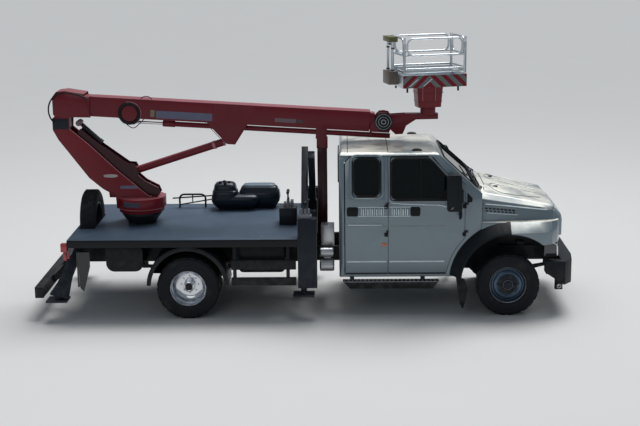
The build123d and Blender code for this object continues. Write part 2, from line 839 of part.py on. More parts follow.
with BuildPart() as front_wings:
    with BuildSketch(top.offset(wing_low)):
        with BuildLine():
            half = [(place, body_y) for place, body_y, bulge_y in wing_sections]
            Polyline((firewall_x, cab_half_width - 2), *half, *[(x, -y) for x, y in reversed(half)],
                     (firewall_x, -cab_half_width + 2), close=True)
        make_face()
    extrude(amount=wing_high - wing_low)
    for hand in (-1, 1):
        add(wing_bulge(hand))
    with BuildSketch(top.offset(cab_floor)):
        with BuildLine():
            Polyline((firewall_x, 20 - cab_half_width), (firewall_x, cab_half_width - 20),
                     (-100, cab_half_width - 20), (-100, 20 - cab_half_width), close=True)
        make_face()
    extrude(amount=600)
    add(nose_outer)
    slab(side, above_shut(firewall_x - 20, nose_front + 30, 0), -1200, 1200, mode=Mode.SUBTRACT)
    block((firewall_x - 1, 720), (-bay_half_width, bay_half_width), (500, 1700), mode=Mode.SUBTRACT)
    add(upper_bay.part, mode=Mode.SUBTRACT)
    for hand in (-1, 1):
        near, far = sorted((-hand * arch_inner_y, -hand * (flare_y + 80)))
        drum(side, (arch_x, arch_z), arch_radius, near, far, mode=Mode.SUBTRACT)
    block((700, 900), (-560, 560), (1060, 1330), mode=Mode.SUBTRACT)
    for hand in (-1, 1):
        for place, pad_y in bonnet_pads:
            pad_z = swing_gap - running_gap
            slab(
                side,
                [
                    (place - 20, shut_z(place - 20, -10)), (place + 20, shut_z(place + 20, -10)),
                    (place + 20, shut_z(place + 20, pad_z)), (place - 20, shut_z(place - 20, pad_z)),
                ],
                hand * pad_y - 5, hand * pad_y + 5,
            )
finish(front_wings, "front_wings")

with BuildPart() as bonnet:
    add(nose_outer)
    add(nose_inner, mode=Mode.SUBTRACT)
    slab(side, above_shut(firewall_x + 8, nose_front + 30, swing_gap), -1200, 1200,
         mode=Mode.INTERSECT)
    for hand in (-1, 1):
        near, far = sorted((hand * 590, hand * 620))
        block((firewall_x + 8, firewall_x + 30), (near, far), (1755, bonnet_hinge_z))
        drum(side, (bonnet_hinge_x, bonnet_hinge_z), 10, near, far)
finish(bonnet, "bonnet")

with BuildPart() as grille:
    block((730, 758), (-559.7, 559.7), (1060.3, 1329.7))
    block((725, 770), (-520, 520), (1090, 1300), mode=Mode.SUBTRACT)
    for height in (1115, 1160, 1205, 1250):
        block((735, 755), (-522, 522), (height, height + 22))
finish(grille, "grille")

with BuildPart() as arch_flares:
    arch_plane = Plane(
        origin=(front_axle_x + arch_x - 0.3, 0, arch_z), x_dir=(0, -1, 0), z_dir=(-1, 0, 0)
    )
    with BuildSketch(arch_plane):
        with BuildLine():
            Polyline(
                (flare_seat - 40, flare_radius),
                (flare_seat, flare_radius),
                (flare_y, arch_radius + 18),
                (flare_y, arch_radius),
                (flare_y - 30, arch_radius),
                (flare_y - 30, arch_radius + 12),
                (flare_seat, flare_radius - 28),
                (flare_seat - 40, flare_radius - 28),
                close=True,
            )
        make_face()
    revolve(
        axis=Axis((front_axle_x + arch_x - 0.3, 0, arch_z), (0, -1, 0)), revolution_arc=84
    )
    add(cab_outer, mode=Mode.SUBTRACT)
    add(front_wings.part, mode=Mode.SUBTRACT)
    slab(side, [(-700, cab_floor - running_gap), (-685, cab_floor - running_gap), (-640, 140), (-655, 140)],
         850, 1090)
    mirror(about=Plane.XZ)
finish(arch_flares, "arch_flares")

with BuildPart() as lamps:
    for hand in (-1, 1):
        near, far = sorted((hand * 600, hand * (cab_half_width - 120)))
        block((520, 700), (near, far), (820, wing_low - 0.3))
        near, far = sorted((hand * (deck_half_width - 90), hand * deck_half_width))
        block((deck_rear - 90.3, deck_rear - 0.3), (near, far), (1000, 1120))
finish(lamps, "lamps")

with BuildPart() as bumper:
    with BuildSketch(top.offset(450)):
        with BuildLine():
            half = [(520, cab_half_width + 30), (800, cab_half_width + 30), (910, cab_half_width - 110),
                    (front_overhang, 560)]
            Polyline(*half, *[(x, -y) for x, y in reversed(half)], close=True)
        make_face()
    extrude(amount=335)
    block((0, rail_front + running_gap), (90 - cab_half_width, cab_half_width - 90), (0, 1000),
          mode=Mode.SUBTRACT)
    slab(side, [(500, 440), (500, 640), (800, 440)], -2 * cab_half_width, 2 * cab_half_width,
         mode=Mode.SUBTRACT)
    block((front_overhang - 60, front_overhang + 1), (-430, 430), (560, 680), mode=Mode.SUBTRACT)
    for hand in (-1, 1):
        near, far = sorted((hand * 370, hand * 430))
        block((rail_front + 0.3, 870), (near, far), (210, 460))
        drum(side, (820, 260), tow_eye_radius, -far - 1, -near + 1, mode=Mode.SUBTRACT)
finish(bumper, "bumper")

with BuildPart() as cab_steps:
    slab(side, [(-2330, 510), (-970, 510), (-1060, 400), (-2230, 400)], cab_half_width - 100,
         cab_half_width + 15)
    for place in (-2200, -1200):
        block((place - 30, place + 30), (10 - cab_half_width, 90 - cab_half_width),
              (500, cab_floor - running_gap))
    mirror(about=Plane.XZ)
finish(cab_steps, "cab_steps")

with BuildPart() as deck:
    block((deck_rear, deck_front), (-deck_half_width, deck_half_width), (subframe_top, deck_top))
    block((deck_rear + 20, deck_front - 20), (-deck_half_width + 20, deck_half_width - 20),
          (subframe_top - 1, deck_top - deck_plate), mode=Mode.SUBTRACT)
    for place in (slew_x - 405, slew_x + 295, rear_axle_x + 15, rear_axle_x + 665, deck_front - 140):
        block((place - 30, place + 30), (-deck_half_width + 20, deck_half_width - 20),
              (subframe_top, deck_top - deck_plate))
    for hand in (-1, 1):
        near, far = sorted((hand * 360, hand * 430))
        block((slew_x - 605, deck_front), (near, far), (rail_top, deck_top - deck_plate))
    block((spare_x - 113.3, spare_x + 113.3), (-460, 460), (rail_top, deck_top + 1), mode=Mode.SUBTRACT)
    drum(top, (slew_x, 0), 205, rail_top - 200, deck_top + 1, mode=Mode.SUBTRACT)
finish(deck, "deck")

with BuildPart() as side_guards:
    for low, high in ((490, 610), (720, 860)):
        block((rear_axle_x + 615, deck_front - 25), (40 - deck_half_width, 65 - deck_half_width),
              (low, high))
    for place in (rear_axle_x + 665, deck_front - 140):
        block((place - 25, place + 25), (65 - deck_half_width, 100 - deck_half_width),
              (490, subframe_top - running_gap))
    mirror(about=Plane.XZ)
finish(side_guards, "side_guards")

guard_z = 480
guard_radius = subframe_top - 0.3 - guard_z
with BuildPart() as rear_mudguards:
    guard_out = deck_half_width - 20
    drum(side, (rear_axle_x, guard_z), guard_radius, 600, guard_out)
    drum(side, (rear_axle_x, guard_z), guard_radius - 10, 590, guard_out - 10, mode=Mode.SUBTRACT)
    drum(side, (rear_axle_x, guard_z), guard_radius - 60, 590, guard_out + 10, mode=Mode.SUBTRACT)
    block((rear_axle_x - 1500, rear_axle_x + 1500), (-guard_out - 50, -500), (-200, 500),
          mode=Mode.SUBTRACT)
    mirror(about=Plane.XZ)
finish(rear_mudguards, "rear_mudguards")

with BuildPart() as tanks:
    tank_in = rail_y + rail_width / 2 + running_gap
    tank_out = deck_half_width - 200
    tank = [(rear_axle_x + 715, 640), (rear_axle_x + 715, 1040), (deck_front - 190, 1040),
            (deck_front - 190, 640)]
    extrude(rounded(side.offset(tank_in), tank, 60), amount=tank_out - tank_in)
    extrude(rounded(side.offset(-tank_out), tank, 60), amount=tank_out - tank_in)
    with BuildSketch(side.offset(tank_in)) as air_tank:
        with Locations((rear_axle_x - 920, 840)):
            RectangleRounded(530, 400, 120)
    extrude(air_tank.sketch, amount=450)
finish(tanks, "tanks")

with BuildPart() as exhaust:
    for out, height, radius in ((750, 880, 70), (740, 690, 90)):
        with BuildSketch(Plane(origin=(front_axle_x - 2660, -out, height), z_dir=(1, 0, 0))) as can:
            Circle(radius)
        extrude(can.sketch, amount=210)
    fillet(exhaust.edges().filter_by(GeomType.CIRCLE), 25)
    block((-2600, -2500), (-700, -430.3), (680, 870))
    block((-2640, -2450), (-650, -430.3), (940, 1240))
    block((-2600, -2500), (-600, -430.3), (850, 950))
finish(exhaust, "exhaust")

toolbox_round = 60
toolbox_table = [
    # place, out, length, width, height
    (deck_front - 1015, deck_half_width - 350, 770, 420, 420),
    (deck_front - 460, deck_half_width - 250, 300, 380, 370),
]
with BuildPart() as toolboxes:
    for x, y, long, wide, tall in toolbox_table:
        with BuildSketch(top.offset(deck_top)) as base:
            with Locations((x, y)):
                RectangleRounded(long, wide, 140)
        extrude(base.sketch, amount=tall, taper=8)
    fillet(toolboxes.faces().filter_by(Axis.Z).filter_by(lambda face: face.center().Z > deck_top + 1).edges(),
           toolbox_round)
    grab_y = deck_half_width - 250
    hoop = [(deck_front - 1890, deck_top), (deck_front - 1890, deck_top + 285),
            (deck_front - 1490, deck_top + 285), (deck_front - 1490, deck_top)]
    with BuildLine() as grab:
        FilletPolyline(*[(front_axle_x + x, grab_y, z) for x, z in hoop], radius=60)
    with BuildSketch(Plane(origin=grab.line @ 0, z_dir=grab.line % 0)) as round_bar:
        Circle(15)
    sweep(round_bar.sketch, path=grab.line)
finish(toolboxes, "toolboxes")

with BuildPart() as valve_console:
    console_top = deck_top + 250
    block((deck_front - 290, deck_front - 40), (-300, 0), (deck_top, console_top))
    for offset_y in (-240, -180, -120, -60):
        drum(top, (deck_front - 165, offset_y), 8, console_top, console_top + 200)
        with Locations((front_axle_x + deck_front - 165, offset_y, console_top + 215)):
            Sphere(22)
finish(valve_console, "valve_console")

# Spare wheel
with BuildPart() as spare_wheel:
    spare_plane = Plane(
        origin=(front_axle_x + spare_x, 0, spare_z), x_dir=(1, 0, 0), z_dir=(0, -1, 0)
    )
    with BuildSketch(spare_plane):
        tyre_section(0)
    revolve(axis=Axis((front_axle_x + spare_x, 0, spare_z), (1, 0, 0)))
    with BuildSketch(Plane(origin=(front_axle_x + spare_x - 60, 0, spare_z), z_dir=(1, 0, 0))):
        Circle(rim_radius + 1)
        Circle(60, mode=Mode.SUBTRACT)
    extrude(amount=40)
finish(spare_wheel, "spare_wheel")

with BuildPart() as underrun_bar:
    block((rear_end, rear_end + 120), (50 - deck_half_width, deck_half_width - 50), (320, 480))
    for hand in (-1, 1):
        near = hand * rail_y - 25
        slab(
            side,
            [(rail_rear - 30.3, 860), (rail_rear - 30.3, 690), (rear_end + 120, 340),
             (rear_end + 120, 460)],
            near, near + 50,
        )
finish(underrun_bar, "underrun_bar")

# Front outriggers: two sleeves crossing behind the cab, with a leg in each
leg_out = deck_half_width - 90
leg_low = 450
leg_cross = -250
leg_high = 2200
leg_angle = math.atan2(leg_high - leg_low, leg_out - leg_cross)
leg_length = math.hypot(leg_high - leg_low, leg_out - leg_cross)
front_legs = (("right", -1, -2880), ("left", 1, -2775))


def leg_plane(hand, place):
    """Plane across a front leg: its normal runs up the sleeve from the foot."""
    return Plane(
        origin=(front_axle_x + place, hand * leg_out, leg_low),
        x_dir=(1, 0, 0),
        z_dir=(0, -hand * math.cos(leg_angle), math.sin(leg_angle)),
    )


with BuildPart() as front_outrigger_frame:
    for label, hand, place in front_legs:
        with BuildSketch(leg_plane(hand, place)):
            Rectangle(96, 140)
        extrude(amount=leg_length)
    for label, hand, place in front_legs:
        near, far = sorted((hand * (leg_out - 100), hand * (leg_out + 70)))
        block((-2959, -2690), (near, far), (455, 1450))
        near, far = sorted((hand * 300, hand * 430))
        block((-2950, -2710), (near, far), (rail_top + 0.3, 1400))
    for label, hand, place in front_legs:
        with BuildSketch(leg_plane(hand, place).offset(-400)):
            Rectangle(80.6, 120.6)
        extrude(amount=400 + leg_length - 200, mode=Mode.SUBTRACT)
finish(front_outrigger_frame, "front_outrigger_frame")

for label, hand, place in front_legs:
    with BuildPart() as leg:
        with BuildSketch(leg_plane(hand, place).offset(-60)):
            Rectangle(80, 120)
        extrude(amount=1300)
        near, far = sorted((hand * (leg_out - 80), hand * (leg_out + 160)))
        block((place - 150, place + 150), (near, far), (345, 375))
        near, far = sorted((hand * (leg_out - 20), hand * (leg_out + 60)))
        block((place - 30, place + 30), (near, far), (370, 450))
    finish(leg, f"outrigger_front_{label}")

# Rear outriggers: inclined sleeves below the deck's tail
rear_leg_top = (rear_axle_x - 1585, 500, 1000)
rear_leg_foot = (rear_axle_x - 1845, 1100, 320)
rear_leg_run = [b - a for a, b in zip(rear_leg_top, rear_leg_foot)]
rear_leg_length = math.sqrt(sum(step * step for step in rear_leg_run))


def rear_leg_plane(hand):
    """Plane across a rear leg at its top: its normal runs down to the foot."""
    return Plane(
        origin=(front_axle_x + rear_leg_top[0], hand * rear_leg_top[1], rear_leg_top[2]),
        x_dir=(rear_leg_run[2], 0, -rear_leg_run[0]),
        z_dir=(rear_leg_run[0], hand * rear_leg_run[1], rear_leg_run[2]),
    )


with BuildPart() as rear_outrigger_frame:
    for hand in (-1, 1):
        with BuildSketch(rear_leg_plane(hand)):
            Rectangle(130, 130)
        extrude(amount=740)
    for hand in (-1, 1):
        near, far = sorted((hand * 430.3, hand * 560))
        block((rear_axle_x - 1670, rear_axle_x - 1515), (near, far), (920, subframe_top - running_gap))
    block((rear_leg_foot[0], rear_leg_top[0] + 200), (-1200, 1200), (subframe_top - running_gap, 1300),
          mode=Mode.SUBTRACT)
    for hand in (-1, 1):
        with BuildSketch(rear_leg_plane(hand).offset(40)):
            Rectangle(108, 108)
        extrude(amount=760, mode=Mode.SUBTRACT)
finish(rear_outrigger_frame, "rear_outrigger_frame")

for label, hand in (("right", -1), ("left", 1)):
    with BuildPart() as leg:
        with BuildSketch(rear_leg_plane(hand).offset(60)):
            Rectangle(107.4, 107.4)
        extrude(amount=rear_leg_length - 70)
        near, far = sorted((hand * 980, hand * 1240))
        foot_x = rear_leg_foot[0]
        block((foot_x - 150, foot_x + 150), (near, far), (290, 315))
        block((foot_x - 40, foot_x + 40), (hand * 1100 - 40, hand * 1100 + 40), (310, 380))
    finish(leg, f"outrigger_rear_{label}")

with BuildPart() as boom_rest:
    block((rest_x - 70, rest_x + 70), (-60, 60), (rail_top - 30 + running_gap, 2250))
finish(boom_rest, "boom_rest")

# Pedestal and slewing column
with BuildPart() as pedestal:
    drum(top, (slew_x, 0), 200, rail_top - 30 + 0.3, deck_top)
    with BuildSketch(top.offset(deck_top)):
        with Locations((slew_x, 0)):
            Circle(200)
    extrude(amount=140, taper=-35)
    drum(top, (slew_x, 0), 298, 1310, pedestal_top)
finish(pedestal, "pedestal")

column_back = [
    # from the slewing centre, height
    (-355, 1590), (-535, 1690), (-730, 1855), (-940, 2140), (-1155, 2430), (-1225, 2570),
]
column_front = [
    (-980, 2583), (-715, 2353), (-305, 1957), (109, 1590), (175, 1560), (345, 1560), (345, 1400),
]
neck = [(-1225, 2735), (-1105, 2840), (-965, 2840)]


def from_slew(points):
    """Points that were counted from the slewing centre, counted from the front axle."""
    return [(slew_x + x, z) for x, z in points]


column_outline = from_slew([(-345, 1400), *column_back, *neck, *column_front])
lug = from_slew([(-360, 1860), (-345, 1930), (-285, 1948), (-225, 1920), (-5, 1550), (-455, 1550),
                 (-465, 1640)])
with BuildPart() as turret:
    drum(top, (slew_x, 0), 330, pedestal_top + running_gap, 1410)
    drum(top, (slew_x, 0), 355, 1400, 1560)
    for hand in (-1, 1):
        near = hand * (column_y + column_plate / 2) - column_plate / 2
        slab(side, column_outline, near, near + column_plate)
        drum(side, (pivot_x, pivot_z), 70, near, near + column_plate)
        near = hand * 71 - 9
        slab(
            side,
            lug,
            near, near + 18,
        )
    slab(
        side,
        from_slew(column_back + [(x + 15, z + 13) for x, z in reversed(column_back[:-1])]),
        -column_y - 1, column_y + 1,
    )
    block((slew_x - 1225, slew_x - 995), (-column_y - 1, column_y + 1), (2560, 2735))
    drum(side, (pivot_x, pivot_z), 30, -145, 145)
    drum(side, lift_foot, 24.7, -80, 80)
finish(turret, "turret")

# Telescopic boom
with BuildPart() as foot:
    slab(side, [(rest_x - 80, 2430), (rest_x - 80, 2255), (rest_x + 80, 2255), (rest_x + 80, 2430)],
         -62, 62)
    rest_back = (head_x - rest_x) / tilt_cos
    slab(boom, [(-rest_back - 208, -275), (-rest_back - 208, -700), (192 - rest_back, -700),
                (192 - rest_back, -275)], -70, 70, mode=Mode.INTERSECT)

dome = [(-1205, 3050), (-1145, 3125), (-1021, 3138)]
with BuildPart() as boom_outer:
    half = boom_height / 2
    slab(boom, [(-pivot_back - 40, -half), (-pivot_back - 40, half), (-200, half), (-200, -half)],
         -boom_width / 2, boom_width / 2)
    drum(boom, (-pivot_back, -pivot_drop), 60, -boom_width / 2, boom_width / 2)
    bore = half - boom_wall
    slab(boom, [(-pivot_back + 120, -bore), (-pivot_back + 120, bore), (-190, bore), (-190, -bore)],
         -boom_width / 2 + boom_wall, boom_width / 2 - boom_wall, mode=Mode.SUBTRACT)
    drum(side, (pivot_x, pivot_z), 30.3, -200, 200, mode=Mode.SUBTRACT)
    for hand in (-1, 1):
        near = hand * 157.5 - 7.5
        slab(
            side,
            from_slew([(-1175, 2760), (-1205, 2800), *dome, (-746, 3093), (-662, 2750)]),
            near, near + 15,
        )
        near, far = sorted((hand * (boom_width / 2 - 5), hand * 155))
        slab(boom, [(113 - pivot_back, -120), (113 - pivot_back, 140), (353 - pivot_back, 140),
                    (353 - pivot_back, -120)], near, far)
    slab(side, from_slew([*dome, (-746, 3093), (-749, 3081), (-1021, 3126), (-1139, 3113),
                          (-1195, 3044)]), -160, 160)
    for hand in (-1, 1):
        near = hand * 75 - 8
        slab(boom, [(-eye_back - 370, 1 - half), (-eye_back - 60, -450), (60 - eye_back, -450),
                    (230 - eye_back, 1 - half)], near, near + 16)
        near = hand * 54 - 8
        slab(boom, [(-rest_back - 76, 1 - half), (-rest_back - 76, -300), (84 - rest_back, -300),
                    (84 - rest_back, 1 - half)], near, near + 16)
    add(foot.part)
finish(boom_outer, "boom_outer")

with BuildPart() as extend_rod:
    drum(Plane(origin=boom.from_local_coords((-3750, -tube_drop, 0)), z_dir=boom.x_dir),
         (0, 0), 20, 0, 3760)
    slab(boom, [(-3790, -tube_drop - 30), (-3790, -145.3), (-3730, -145.3), (-3730, -tube_drop - 30)],
         -30, 30)
finish(extend_rod, "extend_rod")

with BuildPart() as boom_inner:
    half = inner_height / 2
    slab(boom, [(-3900, -half), (-3900, half), (-130, half), (-130, -half)],
         -inner_width / 2, inner_width / 2)
    slab(boom, [(-3890, -half + 8), (-3890, half - 8), (-120, half - 8), (-120, -half + 8)],
         -inner_width / 2 + 8, inner_width / 2 - 8, mode=Mode.SUBTRACT)
    pad = boom_height / 2 - boom_wall - 0.3
    slab(boom, [(-3900, -pad), (-3900, pad), (-3700, pad), (-3700, -pad)],
         -boom_width / 2 + boom_wall + 0.3, boom_width / 2 - boom_wall - 0.3)
    slab(boom, [(-3901, -half + 8), (-3901, half - 8), (-3600, half - 8), (-3600, -half + 8)],
         -inner_width / 2 + 8, inner_width / 2 - 8, mode=Mode.SUBTRACT)
    for hand in (-1, 1):
        near = hand * (inner_width / 2 + 8) - 8
        slab(boom, [(-190, -150), (-190, -60), (-70, 140), (70, 140), (120, -60), (90, -150)],
             near, near + 16)
        near = hand * (inner_width / 2 + 28) - 12
        drum(boom, (0, 0), 130, near, near + 24)
    drum(boom, (0, 0), 29.7, -inner_width / 2 - 10, inner_width / 2 + 10)
    slab(boom, [(-190, -150), (-190, -tube_drop), (-160, -tube_drop), (-160, -130), (-190, -130)],
         -inner_width / 2 - 16, inner_width / 2 + 16)
    drum(Plane(origin=boom.from_local_coords((-3160, -tube_drop, 0)), z_dir=boom.x_dir),
         (0, 0), tube_radius, 0, 3270)
    drum(Plane(origin=boom.from_local_coords((-3161, -tube_drop, 0)), z_dir=boom.x_dir),
         (0, 0), 20.3, 0, 3200, mode=Mode.SUBTRACT)
finish(boom_inner, "boom_inner")

# Lift cylinder
lift_run = (eye_x - lift_foot[0], eye_z - lift_foot[1])
lift_length = math.hypot(*lift_run)
lift_plane = Plane(
    origin=(front_axle_x + lift_foot[0], 0, lift_foot[1]),
    x_dir=(0, 1, 0),
    z_dir=(lift_run[0], 0, lift_run[1]),
)
with BuildPart() as lift_barrel:
    drum(lift_plane, (0, 0), barrel_radius, 0, 1610)
    drum(side, lift_foot, 60, -55, 55)
    drum(side, lift_foot, 25, -60, 60, mode=Mode.SUBTRACT)
    drum(lift_plane, (0, 0), rod_radius + 0.3, 70, 1650, mode=Mode.SUBTRACT)
finish(lift_barrel, "lift_barrel")

with BuildPart() as lift_rod:
    drum(lift_plane, (0, 0), rod_radius, 75, lift_length)
    drum(side, (eye_x, eye_z), 55, -60, 60)
finish(lift_rod, "lift_rod")

# Basket carrier and basket
with BuildPart() as basket_carrier:
    drum(side, (head_x, head_z), 98, -84, 84)
    for hand in (-1, 1):
        near = hand * 57 - 9
        slab(
            side,
            [(head_x + x, head_z + z) for x, z in
             ((0, 98), (300, 115), (460, 112), (460, 30), (330, -60), (280, -180), (175, -185), (60, -77))],
            near, near + 18,
        )
    slab(
        side,
        [(head_x + x, head_z + z) for x, z in
         ((310, 115), (790, 112), (790, 35), (470, 30), (330, -60), (310, -90))],
        -66, 66,
    )
    drum(top, (carrier_turn_x, 0), 110, head_z + 100, 2849.7)
    drum(side, (head_x, head_z), 30.3, -100, 100, mode=Mode.SUBTRACT)
finish(basket_carrier, "basket_carrier")

yaw = math.radians(basket_yaw)
basket_plane = Plane(
    origin=(front_axle_x + carrier_turn_x, 0, 0),
    x_dir=(math.cos(yaw), math.sin(yaw), 0),
    z_dir=(0, 0, 1),
)


def basket_block(x_span, y_span, z_span, mode=Mode.ADD):
    """A box in the basket's own turned frame."""
    with BuildSketch(basket_plane.offset(z_span[0])) as shape:
        with Locations((sum(x_span) / 2, sum(y_span) / 2)):
            Rectangle(x_span[1] - x_span[0], y_span[1] - y_span[0])
    extrude(shape.sketch, amount=z_span[1] - z_span[0], mode=mode)


def basket_tube_run(ends, radius=basket_tube):
    """A straight round tube between two points in the basket's own turned frame."""
    start, end = [basket_plane.from_local_coords(point) for point in ends]
    with BuildSketch(Plane(origin=start, z_dir=end - start)) as ring:
        Circle(radius)
    extrude(ring.sketch, amount=(end - start).length)


def basket_hoop(corners):
    """A closed hoop of round tube with rounded corners in the basket's own turned frame."""
    with BuildLine() as run:
        FilletPolyline(*[basket_plane.from_local_coords(point) for point in corners],
                       radius=hoop_corner, close=True)
    wire = run.wire()
    with BuildSketch(Plane(origin=wire @ 0.05, z_dir=wire % 0.05)) as ring:
        Circle(basket_tube)
    sweep(ring.sketch, path=wire)


with BuildPart() as basket:
    half_x = basket_length / 2
    half_y = basket_depth / 2
    rail_z = basket_floor + basket_height - basket_tube
    in_x = half_x - basket_post - 3
    in_y = half_y - basket_post - 3
    with BuildSketch(basket_plane.offset(carrier_seat)) as turning_head:
        RectangleRounded(340, 230, 30)
    extrude(turning_head.sketch, amount=basket_floor - 20 - carrier_seat, taper=-5)
    basket_block((-half_x, half_x), (-half_y, half_y), (basket_floor - 25, basket_floor + toe_height))
    basket_block((-half_x + 6, half_x - 6), (-half_y + 6, half_y - 6),
                 (basket_floor, basket_floor + toe_height + 1), mode=Mode.SUBTRACT)
    for x in (-in_x, in_x):
        for y in (-in_y, in_y):
            basket_tube_run([(x, y, basket_floor - 5), (x, y, rail_z + basket_tube)], basket_post)
    low_z = rail_z - hoop_height
    for y in (-in_y, in_y):
        reach = in_x - hoop_inset
        basket_hoop([(-reach, y, low_z), (-reach, y, rail_z), (reach, y, rail_z), (reach, y, low_z)])
        for hand in (-1, 1):
            basket_tube_run([(hand * in_x, y, low_z), (hand * (reach - 120), y, low_z)],
                            basket_tube - 1)
        for height in rail_heights:
            basket_tube_run([(-in_x, y, height), (in_x, y, height)])
    for x in (-in_x, in_x):
        reach = in_y - hoop_inset
        basket_hoop([(x, -reach, low_z), (x, -reach, rail_z), (x, reach, rail_z), (x, reach, low_z)])
        for hand in (-1, 1):
            basket_tube_run([(x, hand * in_y, low_z), (x, hand * (reach - 120), low_z)],
                            basket_tube - 1)
        for height in rail_heights:
            basket_tube_run([(x, -in_y, height), (x, in_y, height)])
    panel_out = -half_x - 130
    basket_block((panel_out, 1 - half_x), (-60, 240), (basket_floor + 5, basket_floor + 190))
    basket_block((panel_out, -half_x - 3), (-60, 240), (basket_floor + 610, basket_floor + basket_height))
    for y in (-40, 190):
        basket_block((panel_out + 50, panel_out + 80), (y, y + 30),
                     (basket_floor + 180, basket_floor + 620))
finish(basket, "basket")
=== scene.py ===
"""Looks of the cherry picker truck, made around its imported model.

Every length is in metres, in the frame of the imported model. Places along the truck are
counted from the front axle, as in the part's source.
"""

import json
import math

import bmesh
import bpy
from mathutils import Matrix, Vector
from mathutils.bvhtree import BVHTree

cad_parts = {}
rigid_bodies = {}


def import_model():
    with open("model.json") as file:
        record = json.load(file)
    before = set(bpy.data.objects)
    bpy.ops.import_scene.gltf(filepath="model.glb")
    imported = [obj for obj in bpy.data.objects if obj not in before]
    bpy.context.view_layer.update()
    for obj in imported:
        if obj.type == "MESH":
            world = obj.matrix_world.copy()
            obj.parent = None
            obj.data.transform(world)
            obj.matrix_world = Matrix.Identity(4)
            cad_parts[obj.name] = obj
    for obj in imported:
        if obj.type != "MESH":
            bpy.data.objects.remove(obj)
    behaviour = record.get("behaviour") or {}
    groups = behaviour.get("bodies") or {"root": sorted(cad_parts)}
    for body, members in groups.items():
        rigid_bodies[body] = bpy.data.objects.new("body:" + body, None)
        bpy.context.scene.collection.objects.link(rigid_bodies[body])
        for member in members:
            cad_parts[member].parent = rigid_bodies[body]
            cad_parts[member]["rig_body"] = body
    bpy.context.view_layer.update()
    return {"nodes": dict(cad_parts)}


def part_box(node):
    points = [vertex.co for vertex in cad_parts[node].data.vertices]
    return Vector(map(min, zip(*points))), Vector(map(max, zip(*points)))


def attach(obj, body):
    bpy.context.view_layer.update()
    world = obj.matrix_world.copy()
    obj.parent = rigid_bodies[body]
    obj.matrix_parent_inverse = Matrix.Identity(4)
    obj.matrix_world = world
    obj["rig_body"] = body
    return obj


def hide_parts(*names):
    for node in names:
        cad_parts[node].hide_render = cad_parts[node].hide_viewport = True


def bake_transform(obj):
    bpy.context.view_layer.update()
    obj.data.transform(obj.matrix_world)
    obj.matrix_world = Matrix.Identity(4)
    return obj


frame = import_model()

bl_info = {
    "name": "Cherry picker truck",
    "version": (1, 0, 0),
    "blender": (4, 5, 0),
    "location": "View3D > Sidebar > Truck",
    "description": "Dresses the packed truck with finishes and fine parts",
    "category": "Object",
}


def node_middle(node):
    """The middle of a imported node's box."""
    low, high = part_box(node)
    return (low + high) / 2


# Main places of the truck
AXLE_X = node_middle("tyre_front_right").x
REAR_AXLE = node_middle("tyre_rear_right").x - AXLE_X
AXLE_Z = node_middle("tyre_front_right").z
SINGLE_WHEEL = 0.908
TWIN_INNER, TWIN_OUTER = 0.7325, 0.9875
ARCH_X, ARCH_Z, ARCH_REACH = 0.02, 0.50, 0.78
DECK_TOP = 1.1705
COLUMN_X = -5.295
COLUMN_FACE = 0.1415
HEAD = (-1.73, 2.64)
BOOM_FACE = 0.1152
BOOM_TILT = math.radians(3.6)
BOOM_AXES = (
    (math.cos(BOOM_TILT), 0.0, -math.sin(BOOM_TILT)),
    (0.0, 1.0, 0.0),
    (math.sin(BOOM_TILT), 0.0, math.cos(BOOM_TILT)),
)
PLATFORM_X = -1.085
PLATFORM_TURN = math.radians(15.0)
PLATFORM_AXES = (
    (math.cos(PLATFORM_TURN), math.sin(PLATFORM_TURN), 0.0),
    (-math.sin(PLATFORM_TURN), math.cos(PLATFORM_TURN), 0.0),
    (0.0, 0.0, 1.0),
)
FORWARD, LEFTWARD, UPWARD = (1.0, 0.0, 0.0), (0.0, 1.0, 0.0), (0.0, 0.0, 1.0)
RIGHTWARD = (0.0, -1.0, 0.0)
HANDS = ((-1, "right"), (1, "left"))

# The photo's camera, counted from the front axle
CAMERA_PLACE = (-2.314, -18.248, 5.551)
CAMERA_PITCH, CAMERA_SWING, CAMERA_ROLL = 0.2301, -0.0191, 0.0108
CAMERA_LENS = 71.353


def place(x, y, z):
    """A point given from the front axle."""
    return Vector((AXLE_X + x, y, z))


def boom_place(back, y, up):
    """A point given along the boom: back from its head, across, and up from its middle."""
    return place(
        HEAD[0] - back * math.cos(BOOM_TILT) + up * math.sin(BOOM_TILT),
        y,
        HEAD[1] + back * math.sin(BOOM_TILT) + up * math.cos(BOOM_TILT),
    )


def add_node(tree, kind, settings=None, sockets=None):
    """Makes a shader node, sets it up, and then fills or links its sockets."""
    node = tree.nodes.new(kind)
    for key, value in (settings or {}).items():
        setattr(node, key, value)
    for key, value in (sockets or {}).items():
        fill(tree, node.inputs[key], value)
    return node


def fill(tree, socket, value):
    """Gives a socket a number or a colour, or links what varies to it."""
    if isinstance(value, Value):
        value = value.socket
    if isinstance(value, bpy.types.NodeSocket):
        tree.links.new(value, socket)
    else:
        socket.default_value = value


class Value:
    """A shader socket that takes part in sums."""

    def __init__(self, finish, socket):
        self.finish = finish
        self.socket = socket

    def maths(self, operation, *others):
        sockets = [other.socket if isinstance(other, Value) else other for other in others]
        node = self.finish.node(
            "ShaderNodeMath", {"operation": operation}, {0: self.socket, **dict(enumerate(sockets, 1))}
        )
        return Value(self.finish, node.outputs[0])

    def __add__(self, other):
        return self.maths("ADD", other)

    __radd__ = __add__

    def __mul__(self, other):
        return self.maths("MULTIPLY", other)

    __rmul__ = __mul__

    def __sub__(self, other):
        return self.maths("SUBTRACT", other)

    def __rsub__(self, other):
        return self.maths("MULTIPLY", -1.0).maths("ADD", other)

    def clamped(self):
        return self.maths("MAXIMUM", 0.0).maths("MINIMUM", 1.0)


